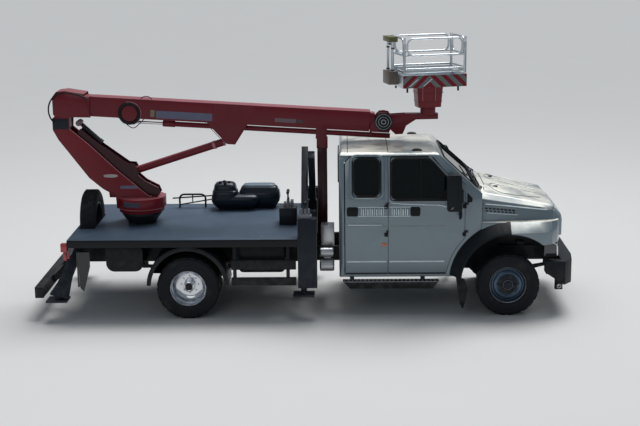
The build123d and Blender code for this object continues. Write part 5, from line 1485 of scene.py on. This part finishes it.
class TRUCK_OT_chassis(bpy.types.Operator):
    """Frame, axles, engine and what hangs below the deck"""

    bl_idname = "truck.chassis"
    bl_label = "Chassis"

    def execute(self, context):
        for node in ("frame", "rear_axle", "front_axle", "knuckle_right", "knuckle_left"):
            coat_node(node, "chassis_black")
        coat_node("engine", "engine_iron")
        dress("exhaust", "exhaust_steel", 0.008, 2)
        for node in ("side_guards", "rear_mudguards", "underrun_bar", "tanks"):
            dress(node, "chassis_black", 0.006, 2)
        self.mudguard_ridges()
        self.pale_edges()
        return {"FINISHED"}

    def mudguard_ridges(self):
        """Two pressed ridges along each rear mudguard."""
        bm = bmesh.new()
        radius = 0.576
        for hand in (-1, 1):
            for out in (1.065, 1.118):
                turns = [math.radians(6.0 + index * 7.0) for index in range(25)]
                add_tube(bm, [
                    place(REAR_AXLE + radius * math.cos(turn), hand * out, 0.48 + radius * math.sin(turn))
                    for turn in turns
                ], 0.008, 0.02)
        put(bm, "mudguard_ridges", "outrigger_blue", "rear_mudguards", smooth=50.0)

    def pale_edges(self):
        """Grey lines along the edges of the brackets below the deck."""
        bm = bmesh.new()
        skin = Skin("deck", "side_guards")
        brackets = ((-3.79, 0.90, 1.10), (-3.215, 0.88, 1.14), (-3.06, 0.98, 1.10), (-5.55, 0.92, 1.04))
        for hand in (-1, 1):
            for x, low, high in brackets:
                spots = [skin.side(x, z, hand, 0.001) for z in (low, (low + high) / 2, high)]
                add_tube(bm, spots, 0.005, 0.01)
        put(bm, "bracket_edges", "gusset_grey", "deck", smooth=50.0)


class TRUCK_OT_deck(bpy.types.Operator):
    """Deck, its boxes and the control console"""

    bl_idname = "truck.deck"
    bl_label = "Deck"

    def execute(self, context):
        dress("deck", "deck_plate", 0.004, 2)
        self.tread_bars()
        self.boxes()
        self.console()
        self.rear_corner()
        return {"FINISHED"}

    def tread_bars(self):
        """Worn raised bars near the deck's front corners."""
        bm = bmesh.new()
        for hand in (-1, 1):
            for index in range(9):
                x = -3.50 + index * 0.042
                inner = place(x + 0.05, hand * (0.90 + 0.012 * index), DECK_TOP)
                add_rod(bm, place(x, hand * 1.14, DECK_TOP), inner, 0.005, 8)
        put(bm, "tread_bars", "box_lid", "deck", smooth=50.0)

    def boxes(self):
        """Moulded boxes that narrow towards the deck, and the low handrail."""
        bm = bmesh.new()
        skirt = [(1.171, 0.135), (1.185, 0.115), (1.25, 0.05), (1.30, 0.022), (1.34, 0.018), (1.37, 0.024)]
        cap = [(1.42, 0.034), (1.46, 0.040), (1.475, 0.056), (1.50, 0.058)]
        cap += [(1.545, 0.068), (1.575, 0.092), (1.589, 0.135)]
        bridge = [(1.395, 0.05), (1.408, 0.10)]
        front_box = [
            (1.171, 0.10), (1.19, 0.085), (1.28, 0.03), (1.34, 0.018), (1.39, 0.022),
            (1.44, 0.034), (1.455, 0.05), (1.48, 0.055), (1.505, 0.075), (1.515, 0.10),
        ]
        add_moulding(bm, (-4.36, -3.90), (0.59, 1.01), skirt + cap)
        add_moulding(bm, (-4.18, -3.59), (0.59, 0.99), skirt + bridge)
        add_moulding(bm, (-3.95, -3.27), (0.71, 1.08), front_box)
        boxes = len(bm.faces)
        hatch = [(1.50, 0.0), (1.525, 0.004), (1.538, 0.018), (1.54, 0.04)]
        add_moulding(bm, (-3.86, -3.36), (0.79, 1.00), hatch)
        lid = len(bm.faces)
        knob = [(0.0, 0.032), (0.018, 0.030), (0.024, 0.018), (0.020, 0.0), (0.0, 0.0)]
        for x, y in ((-4.20, 0.72), (-4.12, 0.69), (-4.06, 0.74), (-4.14, 0.80)):
            add_disc(bm, knob, place(x, y, 1.583), UPWARD, 16)
        rail = ((-4.85, 1.17), (-4.85, 1.375), (-4.45, 1.375), (-4.45, 1.17))
        add_tube(bm, [place(x, 0.90, z) for x, z in rail], 0.015, 0.07)
        for start, end, radius in (
            ((-4.96, 1.315), (-4.33, 1.355), 0.011),
            ((-4.84, 1.215), (-4.33, 1.300), 0.010),
            ((-4.65, 1.24), (-4.65, 1.375), 0.009),
        ):
            add_rod(bm, *[place(x, 0.90, z) for x, z in (start, end)], radius, 12)
        for index, face in enumerate(bm.faces):
            face.material_index = 0 if index < boxes else 2 if index < lid else 1
        finishes = ["box_plastic", "black_steel", "box_lid"]
        piece = put(bm, "deck_boxes", finishes, "toolboxes", 40.0)
        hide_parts("toolboxes")

    def console(self):
        """Valve block with a grey top, and the sleeves of its levers."""

        def pick(spot, normal):
            return 1 if 1.40 < spot.z < 1.44 else 0

        dress("valve_console", ["black_steel", "gusset_grey"], 0.006, 2, pick=pick)
        bm = bmesh.new()
        sleeve = [(0.0, 0.11), (0.014, 0.11), (0.018, 0.10), (0.018, 0.05)]
        sleeve += [(0.024, 0.045), (0.024, 0.0), (0.0, 0.0)]
        for y in (-0.24, -0.18, -0.12, -0.06):
            add_disc(bm, sleeve, place(-3.125, y, 1.42), UPWARD, 20)
        for y in (-0.21, -0.15, -0.09):
            add_pad(bm, (-3.19, y - 0.018, 1.42), (-3.155, y + 0.018, 1.475), 0.004, 2)
            add_pad(bm, (-3.09, y - 0.016, 1.42), (-3.045, y + 0.016, 1.505), 0.004, 2)
        put(bm, "lever_sleeves", "lever_grey", "valve_console", smooth=40.0)

    def rear_corner(self):
        """Red strips under the rear lamps."""
        bm = bmesh.new()
        for hand in (-1, 1):
            add_pad(bm, (-6.245, hand * 1.10, 0.875), (-6.205, hand * 1.135, 1.0), 0.004, 2)
            add_pad(bm, (-6.185, hand * 1.10, 0.90), (-6.165, hand * 1.13, 0.98), 0.003, 2)
        put(bm, "rear_strips", "red_lens", "deck", smooth=40.0)


class TRUCK_OT_outriggers(bpy.types.Operator):
    """Sleeves, legs and feet, and the boom's rest"""

    bl_idname = "truck.outriggers"
    bl_label = "Outriggers"

    def execute(self, context):
        for row, slot in (("front", "chassis_black"), ("rear", "outrigger_blue")):
            for node in (f"{row}_outrigger_frame", f"outrigger_{row}_right", f"outrigger_{row}_left"):
                dress(node, "outrigger_blue", 0.005, 2)
        dress("boom_rest", "column_dark", 0.006, 2)
        self.gussets()
        self.leg_flares()
        self.leg_valve()
        self.rest_trim()
        return {"FINISHED"}

    def gussets(self):
        """Grey plates that brace the rear legs below the deck."""
        bm = bmesh.new()
        outline = ((-6.07, 0.97), (-5.90, 0.97), (-5.90, 0.76), (-6.00, 0.40), (-6.05, 0.45))
        for hand in (-1, 1):
            add_side_plate(bm, outline, hand * 1.02, 0.02)
            add_pad(bm, (-6.085, hand * 0.93, 0.46), (-6.065, hand * 1.04, 0.97), 0.004, 1)
        put(bm, "leg_gussets", "gusset_grey", "rear_outrigger_frame")

    def leg_flares(self):
        """Cover plates that widen towards the rear feet."""
        for hand, side in HANDS:
            start, foot = place(-6.10, hand * 0.50, 1.0), place(-6.36, hand * 1.10, 0.32)
            along = (foot - start).normalized()
            across = (Vector(FORWARD) - along * along.x).normalized()
            outward = along.cross(across)
            if outward.y * hand < 0:
                outward = -outward
            bm = bmesh.new()
            outline = (
                (0.36, -0.066), (0.36, 0.066), (0.70, 0.110), (0.985, 0.170), (1.01, 0.165), (1.01, -0.105),
                (0.985, -0.115), (0.80, -0.075),
            )
            points = [start.lerp(foot, share) + across * wide + outward * 0.068 for share, wide in outline]
            add_plate(bm, points, 0.010, outward)
            put(bm, f"leg_cover_{side}", "outrigger_blue", f"outrigger_rear_{side}")

    def leg_valve(self):
        """Valve with its lever on the right front sleeve."""
        bm = bmesh.new()
        add_pad(bm, (-2.93, -1.10, 1.45), (-2.76, -1.00, 1.50), 0.008, 2)
        plunger = [(0.0, 0.095), (0.014, 0.095), (0.018, 0.088), (0.018, 0.0), (0.0, 0.0)]
        for x in (-2.90, -2.85, -2.80):
            add_disc(bm, plunger, place(x, -1.05, 1.49), UPWARD, 20)
        put(bm, "leg_valve", "lever_grey", "front_outrigger_frame", smooth=40.0)
        ball = bmesh.new()
        add_rod(ball, place(-2.85, -1.05, 1.57), place(-2.85, -1.05, 1.64), 0.007, 12)
        add_dome(ball, place(-2.85, -1.05, 1.655), (0.034, 0.034, 0.034), 12)
        put(ball, "leg_lever", "black_plastic", "front_outrigger_frame", smooth=60.0)

    def rest_trim(self):
        """Edges of the rest post and of the front sleeves."""
        bm = bmesh.new()
        for x in (-2.688, -2.552):
            add_rod(bm, place(x, -0.059, 1.30), place(x, -0.059, 2.24), 0.004, 8)
        for hand in (-1, 1):
            for x in (-2.955, -2.695):
                add_rod(bm, place(x, hand * 1.128, 0.50), place(x, hand * 1.128, 1.44), 0.004, 8)
        put(bm, "post_edges", "gusset_grey", "boom_rest", smooth=50.0)


class TRUCK_OT_boom(bpy.types.Operator):
    """Boom, extension, lift cylinder and the platform's carrier"""

    bl_idname = "truck.boom"
    bl_label = "Boom"

    def execute(self, context):
        width = context.scene.truck_sizes.steel_round
        for node in ("boom_outer", "boom_inner", "basket_carrier"):
            dress(node, "boom_red", width, 2)
        coat_node("extend_rod", "polished_rod")
        coat_node("lift_rod", "polished_rod")
        coat_node("lift_barrel", "boom_red")
        self.edges()
        self.plates()
        self.bracket()
        self.reel()
        self.rings()
        self.head()
        self.hoses()
        return {"FINISHED"}

    def edges(self):
        """Pale strips along the boom's top edges: painted highlight."""
        bm = bmesh.new()
        for hand in (-1, 1):
            add_beam(bm, (0.21, 4.22), (hand * 0.106, hand * 0.1162), (0.1385, 0.1462), 0.002)
        put(bm, "boom_edge_highlights", "worn_edge", "boom_outer", smooth=40.0)

    def plates(self):
        """Blank plates on the boom's sides."""
        for name, finish, backs, ups in (
            ("long_plate", "plate_violet", (2.475, 3.29), (-0.118, -0.010)),
            ("long_plate_end", "plate_sand", (3.31, 3.37), (-0.105, -0.004)),
            ("short_plate", "plate_rose", (1.26, 1.57), (-0.080, -0.022)),
            ("short_plate_end", "gusset_grey", (1.17, 1.25), (-0.076, -0.030)),
        ):
            bm = bmesh.new()
            for hand in (-1, 1):
                add_beam(bm, backs, (hand * BOOM_FACE, hand * 0.1180), ups, 0.001)
            put(bm, name, finish, "boom_outer", smooth=40.0)

    def bracket(self):
        """Cheeks and stiffeners where the lift cylinder's bracket meets the boom."""
        bm = bmesh.new()
        outline = ((2.46, 0.142), (2.46, 0.0), (2.37, -0.1445), (1.93, -0.1445), (1.86, 0.0), (1.86, 0.142))
        for hand in (-1, 1):
            points = [boom_place(back, hand * 0.1151, up) for back, up in outline]
            add_plate(bm, points, 0.0035, (0.0, hand, 0.0))
            for back in (2.24, 2.08, 1.87):
                backs, sides = (back - 0.004, back + 0.004), (hand * 0.118, hand * 0.124)
                add_beam(bm, backs, sides, (-0.01, 0.140), 0.001)
            for start, end in (((1.985, -0.15), (2.15, -0.445)), ((2.575, -0.15), (2.275, -0.445))):
                spots = [boom_place(back, hand * 0.084, up) for back, up in (start, end)]
                add_rod(bm, *spots, 0.004, 8)
        put(bm, "bracket_cheeks", "boom_red", "boom_outer")

    def reel(self):
        """Round cover on the boom's right side, with its black ring, and a pale arc along its rim that is a
        painted highlight.
        """
        centre = place(-5.40, -BOOM_FACE, 2.80)
        ring = [
            (0.112, 0.0), (0.158, 0.0), (0.163, 0.005), (0.163, 0.022), (0.157, 0.028), (0.126, 0.028),
            (0.118, 0.018), (0.112, 0.0),
        ]
        cover = [(0.0, 0.0), (0.119, 0.0), (0.119, 0.012), (0.113, 0.021), (0.085, 0.025), (0.0, 0.027)]
        put(spun(ring, centre, 64, RIGHTWARD), "reel_ring", "rubber_seal", "boom_outer", smooth=40.0)
        put(spun(cover, centre, 64, RIGHTWARD), "reel_cover", "boom_red", "boom_outer", smooth=40.0)
        bm = bmesh.new()
        turns = [math.radians(-75.0 + index * 10.0) for index in range(19)]
        rim = [centre + Vector((0.168 * math.cos(turn), -0.008, 0.168 * math.sin(turn))) for turn in turns]
        add_tube(bm, rim, 0.006, 0.02)
        put(bm, "reel_rim_highlight", "worn_edge", "boom_outer", smooth=60.0)
        loop = bmesh.new()
        arch = ((3.52, 0.146), (3.49, 0.175), (3.44, 0.186), (3.39, 0.175), (3.36, 0.146))
        add_tube(loop, [boom_place(back, -0.07, up) for back, up in arch], 0.006, 0.02)
        put(loop, "hose_guide", "rubber_seal", "boom_outer", smooth=60.0)

    def rings(self):
        """Collars on the lift cylinder, pale as a painted highlight, and collars on the lower tube."""

        def collar(bore, radius, length, edge):
            """A band round a tube, with its edges broken."""
            return [
                (bore, 0.0), (radius, 0.0), (radius + 0.002, edge), (radius + 0.002, length - edge),
                (radius, length), (bore, length), (bore, 0.0),
            ]

        foot, eye = place(-5.58, 0.0, 1.87), place(-3.94, 0.0, 2.39)
        along = (eye - foot).normalized()
        bm = bmesh.new()
        for share, radius, length in ((0.845, 0.0605, 0.016), (0.83, 0.058, 0.03), (0.925, 0.058, 0.02)):
            add_disc(bm, collar(0.05, radius, length, 0.003), foot.lerp(eye, share), along, 40)
        put(bm, "lift_collars", "worn_edge", "lift_barrel", smooth=40.0)
        bm = bmesh.new()
        for back, length, radius in ((3.20, 0.17, 0.044), (3.04, 0.02, 0.043), (2.50, 0.03, 0.041)):
            foot = boom_place(back, 0.0, -0.21)
            add_disc(bm, collar(0.036, radius, length, 0.004), foot, BOOM_AXES[0], 40)
        put(bm, "tube_collars", "boom_red", "boom_outer", smooth=40.0)

    def head(self):
        """Round bearing covers at the boom's head: a ring, a stepped cover and bright lines."""
        ring = [
            (0.0, 0.0), (0.128, 0.0), (0.132, 0.004), (0.132, 0.012), (0.124, 0.016), (0.104, 0.016),
            (0.098, 0.010), (0.0, 0.010),
        ]
        cover = [
            (0.0, 0.010), (0.093, 0.010), (0.093, 0.014), (0.080, 0.019), (0.052, 0.019), (0.046, 0.014),
            (0.030, 0.014), (0.026, 0.022), (0.0, 0.024),
        ]
        for hand, side in HANDS:
            outward = (0.0, hand, 0.0)
            centre = place(HEAD[0], hand * 0.1305, 2.65)
            put(spun(ring, centre, 56, outward), "head_ring_" + side, "black_steel", "boom_inner", smooth=40.0)
            put(spun(cover, centre, 56, outward), "head_cover_" + side, "outrigger_blue", "boom_inner")
            bm = bmesh.new()
            for radius, out in ((0.104, 0.015), (0.066, 0.018), (0.026, 0.021)):
                line = [(0.0, 0.0), (0.005, 0.002), (0.010, 0.0), (0.005, -0.002), (0.0, 0.0)]
                line = [(radius + wide, high) for wide, high in line]
                add_disc(bm, line, centre + Vector(outward) * out, outward, 48)
            put(bm, "head_lines_" + side, "bare_steel", "boom_inner", smooth=60.0)

    def hoses(self):
        """Hose over the dome to the neck block, and the loop that hangs below the reel."""
        points = [place(*spot) for spot in (
            (-5.985, -0.178, 3.02), (-6.06, -0.179, 3.065), (-6.17, -0.180, 3.10), (-6.32, -0.182, 3.125),
            (-6.455, -0.182, 3.085), (-6.545, -0.180, 2.97), (-6.565, -0.172, 2.84), (-6.54, -0.158, 2.74),
            (-6.50, -0.142, 2.685), (-6.46, -0.128, 2.655),
        )]
        upper = hose("dome_hose", points, 0.011, None)
        place(-6.45, -0.18, 3.0)
        place(-6.5, -0.15, 2.70)
        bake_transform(upper)
        points = [boom_place(back, -0.095, up) for back, up in (
            (3.84, -0.140), (3.78, -0.18), (3.72, -0.23), (3.66, -0.275), (3.62, -0.288), (3.58, -0.272),
            (3.53, -0.22), (3.49, -0.175), (3.46, -0.140),
        )]
        hose("reel_hose", points, 0.006, "boom_outer")


class TRUCK_OT_column(bpy.types.Operator):
    """Slewing column and its pedestal"""

    bl_idname = "truck.column"
    bl_label = "Column"

    def execute(self, context):
        neck_front, neck_foot = -6.27, 2.56

        def pick(spot, normal):
            """Black on the neck block at the column's head, and red below it."""
            foot = neck_foot if abs(spot.y) > 0.12 else neck_foot + 0.0001
            return 1 if spot.x < neck_front and spot.z > foot else 0

        dress("turret", ["column_red", "black_steel"], 0.005, 2, pick=pick)
        dress("pedestal", "black_steel", 0.006, 2)
        self.neck()
        self.channel()
        self.edges()
        self.plates()
        self.tabs()
        return {"FINISHED"}

    def neck(self):
        """Dark cover round the neck block."""
        bm = bmesh.new()
        add_pad(bm, (-6.5195, -0.1445, 2.575), (-6.285, 0.1445, 2.738), 0.008, 3)
        put(bm, "neck_cover", "outrigger_blue", "turret", smooth=40.0)

    def channel(self):
        """Inner plates of the open channel, with the black rods that lie in it."""
        upper = (
            (-6.20, 2.48), (-6.13, 2.58), (-5.88, 2.37), (-5.46, 2.06), (-5.36, 2.05), (-5.30, 1.93),
            (-5.36, 1.78), (-5.62, 1.93), (-6.02, 2.31),
        )
        lower = ((-5.36, 1.92), (-5.22, 1.79), (-5.03, 1.69), (-5.0, 1.62), (-5.04, 1.561), (-5.36, 1.561))
        bm = bmesh.new()
        for hand in (-1, 1):
            add_side_plate(bm, upper, hand * 0.092, 0.009)
            add_side_plate(bm, lower, hand * 0.084, 0.009)
        put(bm, "channel_plates", "column_dark", "turret")
        bm = bmesh.new()
        for y, radius in ((-0.055, 0.017), (-0.015, 0.021), (0.03, 0.017), (0.065, 0.012)):
            add_rod(bm, place(-6.15, y, 2.655), place(-5.86, y, 2.385), radius, 16)
            add_rod(bm, place(-5.87, y, 2.395), place(-5.83, y, 2.358), radius + 0.006, 16)
        put(bm, "channel_rods", "black_steel", "turret", smooth=50.0)
        eye = [(0.0, -0.09), (0.034, -0.09), (0.042, -0.082), (0.042, 0.082), (0.034, 0.09), (0.0, 0.09)]
        put(spun(eye, place(-6.155, 0.0, 2.655), 32), "channel_eye", "plate_rose", "turret", smooth=40.0)

    def edges(self):
        """Pale lines along the edges of the column's plates and of its ring: painted highlight."""
        bm = bmesh.new()
        front = ((-6.275, 2.583), (-6.01, 2.353), (-5.60, 1.957), (-5.186, 1.594), (-5.12, 1.566))
        inner = ((-5.36, 1.925), (-5.22, 1.795), (-5.03, 1.695))
        for hand in (-1, 1):
            add_tube(bm, [place(x, hand * 0.139, z) for x, z in front], 0.006, 0.03)
            add_tube(bm, [place(x, hand * 0.089, z) for x, z in inner], 0.005, 0.02)
        ring = [(0.350, 0.0), (0.356, 0.0), (0.358, 0.003), (0.356, 0.007), (0.350, 0.007), (0.350, 0.0)]
        add_disc(bm, ring, place(COLUMN_X, 0.0, 1.402), UPWARD, 96)
        put(bm, "column_edge_highlights", "worn_edge", "turret", smooth=50.0)

    def plates(self):
        """Blank plates low on the column's sides and on its ring."""
        for name, finish, middle, half, power in (
            ("oval_plate", "plate_pale", (-5.71, 1.885), (0.105, 0.024), 2.4),
            ("violet_plate", "plate_violet", (-5.45, 1.715), (0.130, 0.024), 6.0),
        ):
            bm = bmesh.new()
            for hand in (-1, 1):
                add_side_plate(bm, rounded_outline(middle, half, power, 32), hand * COLUMN_FACE, 0.0025)
            put(bm, name, finish, "turret", smooth=40.0)
        for name, finish, low, high, radius, inset in (
            ("ring_plate", "lever_grey", 1.452, 1.522, 0.357, 0.0),
            ("ring_plate_face", "plate_violet", 1.460, 1.514, 0.3585, 1.2),
        ):
            bm = bmesh.new()
            for hand in (-1, 1):
                rows = []
                for index in range(15):
                    turn = math.radians(87.0 + inset + index * (42.0 - 2 * inset) / 14)
                    spot = place(COLUMN_X + radius * math.cos(turn), hand * radius * math.sin(turn), 0.0)
                    rows.append([bm.verts.new(spot + Vector((0.0, 0.0, z))) for z in (low, high)])
                for before, after in zip(rows, rows[1:]):
                    bm.faces.new((before[0], after[0], after[1], before[1]))
            bmesh.ops.solidify(bm, geom=bm.faces[:], thickness=0.002)
            bmesh.ops.recalc_face_normals(bm, faces=bm.faces)
            put(bm, name, finish, "turret", smooth=40.0)

    def tabs(self):
        """Small lugs along the column's back edge."""
        bm = bmesh.new()
        slope = ((0.75, 0.0, -0.66), LEFTWARD, (0.66, 0.0, 0.75))
        for x, z in ((-6.12, 2.06), (-5.93, 1.80), (-5.80, 1.71)):
            for hand in (-1, 1):
                add_slab(bm, place(x, hand * 0.085, z), slope, (0.085, 0.022, 0.05), 0.004)
        put(bm, "back_lugs", "column_dark", "turret")


class TRUCK_OT_platform(bpy.types.Operator):
    """Work platform with its rails and control box"""

    bl_idname = "truck.platform"
    bl_label = "Platform"

    def execute(self, context):
        along, across = [Vector(axis) for axis in PLATFORM_AXES[:2]]
        middle = Vector((PLATFORM_X, 0.0, 0.0))

        def pick(spot, normal):
            """The control box by its height, the head, the striped boards, and bare metal elsewhere."""
            x, y = (spot - middle).dot(along), (spot - middle).dot(across)
            if x < -0.478:
                return 2 if spot.z > 3.79 else 3 if spot.z < 3.39 else 0
            if spot.z < 3.16:
                return 1
            if spot.z < 3.345 and abs(normal.dot(across)) > 0.9 and abs(y) > 0.305:
                return 4
            return 0

        finishes = ["platform_aluminium", "column_red", "control_olive", "control_brown", "warning_stripes"]
        dress("basket", finishes, 0.004, 2, pick=pick)
        self.caps()
        self.slashes()
        self.feet()
        self.controls()
        self.turning_head()
        return {"FINISHED"}

    def caps(self):
        """White caps and collars on the corner posts."""
        bm = bmesh.new()
        cap = [(0.0, 0.076), (0.014, 0.075), (0.0225, 0.066), (0.0228, 0.0), (0.0195, 0.0)]
        collar = [(0.0195, 0.0), (0.0226, 0.0), (0.0228, 0.003)]
        collar += [(0.0228, 0.013), (0.0226, 0.016), (0.0195, 0.016)]
        for x in (-0.452, 0.452):
            for y in (-0.287, 0.287):
                for profile, height in ((cap, 3.792), (collar, 3.690), (collar, 3.345)):
                    add_disc(bm, profile, platform_place(x, y, height), UPWARD, 24)
        put(bm, "post_caps", "white_cap", "basket", smooth=40.0)

    def slashes(self):
        """Thin white slashes over the striped board."""
        bm = bmesh.new()
        slash = ((0.0, 3.19), (0.010, 3.185), (0.135, 3.285), (0.125, 3.29))
        for start in (-0.385, -0.175):
            points = [platform_place(start + x, -0.3102, z) for x, z in slash]
            add_plate(bm, points, 0.0015, -Vector(PLATFORM_AXES[1]))
        put(bm, "board_slashes", "white_cap", "basket", smooth=40.0)

    def feet(self):
        """Small black feet under the floor's corners."""
        bm = bmesh.new()
        for x in (-0.40, 0.36):
            for y in (-0.27, 0.27):
                add_platform_pad(bm, (x - 0.012, x + 0.012), (y - 0.012, y + 0.012), (3.10, 3.168), 0.003, 2)
        put(bm, "floor_feet", "black_plastic", "basket", smooth=40.0)

    def controls(self):
        """Levers on the control box, and the joints of its bars."""
        bm = bmesh.new()
        for y in (0.0, 0.06, 0.12, 0.18):
            spot = platform_place(-0.52, y, 3.800)
            add_rod(bm, spot, spot - Vector((0.0, 0.0, 0.045)), 0.006, 10)
            add_dome(bm, spot - Vector((0.0, 0.0, 0.05)), (0.012, 0.012, 0.012), 6)
        for y in (-0.025, 0.205):
            for z in (3.39, 3.70):
                add_platform_pad(bm, (-0.562, -0.518), (y - 0.022, y + 0.022), (z, z + 0.018), 0.003, 2)
        put(bm, "control_levers", "black_plastic", "basket", smooth=40.0)

    def turning_head(self):
        """Raised lips, and a pale guide on the turning head whose paleness is a painted highlight."""
        bm = bmesh.new()
        for z, half_x, half_y in ((2.93, 0.178, 0.123), (3.06, 0.190, 0.135)):
            add_platform_pad(bm, (-half_x, half_x), (-half_y, half_y), (z, z + 0.008), 0.002, 1)
        put(bm, "head_lips", "column_dark", "basket", smooth=40.0)
        bm = bmesh.new()
        for x in (-0.13, 0.06):
            add_platform_pad(bm, (x, x + 0.008), (-0.146, -0.128), (2.95, 3.15), 0.002, 1)
        put(bm, "head_guide_highlights", "worn_edge", "basket", smooth=40.0)


class TRUCK_PT_panel(bpy.types.Panel):
    """The truck's colours, sizes and pieces"""

    bl_label = "Cherry picker truck"
    bl_idname = "TRUCK_PT_panel"
    bl_space_type = "VIEW_3D"
    bl_region_type = "UI"
    bl_category = "Truck"

    def draw(self, context):
        column = self.layout.column()
        for group in (context.scene.truck_looks, context.scene.truck_sizes):
            for name in group.__annotations__:
                column.prop(group, name)
        for operator in OPERATORS:
            column.operator(operator.bl_idname)


OPERATORS = (
    TRUCK_OT_stage, TRUCK_OT_wheels, TRUCK_OT_cab, TRUCK_OT_nose, TRUCK_OT_chassis, TRUCK_OT_deck,
    TRUCK_OT_outriggers, TRUCK_OT_boom, TRUCK_OT_column, TRUCK_OT_platform,
)
CLASSES = (TruckLooks, TruckSizes, *OPERATORS, TRUCK_PT_panel)


def register():
    for each in CLASSES:
        bpy.utils.register_class(each)
    bpy.types.Scene.truck_looks = bpy.props.PointerProperty(type=TruckLooks)
    bpy.types.Scene.truck_sizes = bpy.props.PointerProperty(type=TruckSizes)


def unregister():
    del bpy.types.Scene.truck_looks
    del bpy.types.Scene.truck_sizes
    for each in reversed(CLASSES):
        bpy.utils.unregister_class(each)


def main():
    register()
    make_finishes(bpy.context.scene.truck_looks)
    bpy.ops.truck.stage()
    bpy.ops.truck.wheels()
    bpy.ops.truck.cab()
    bpy.ops.truck.nose()
    bpy.ops.truck.chassis()
    bpy.ops.truck.deck()
    bpy.ops.truck.outriggers()
    bpy.ops.truck.boom()
    bpy.ops.truck.column()
    bpy.ops.truck.platform()


if __name__ == "__main__":
    main()
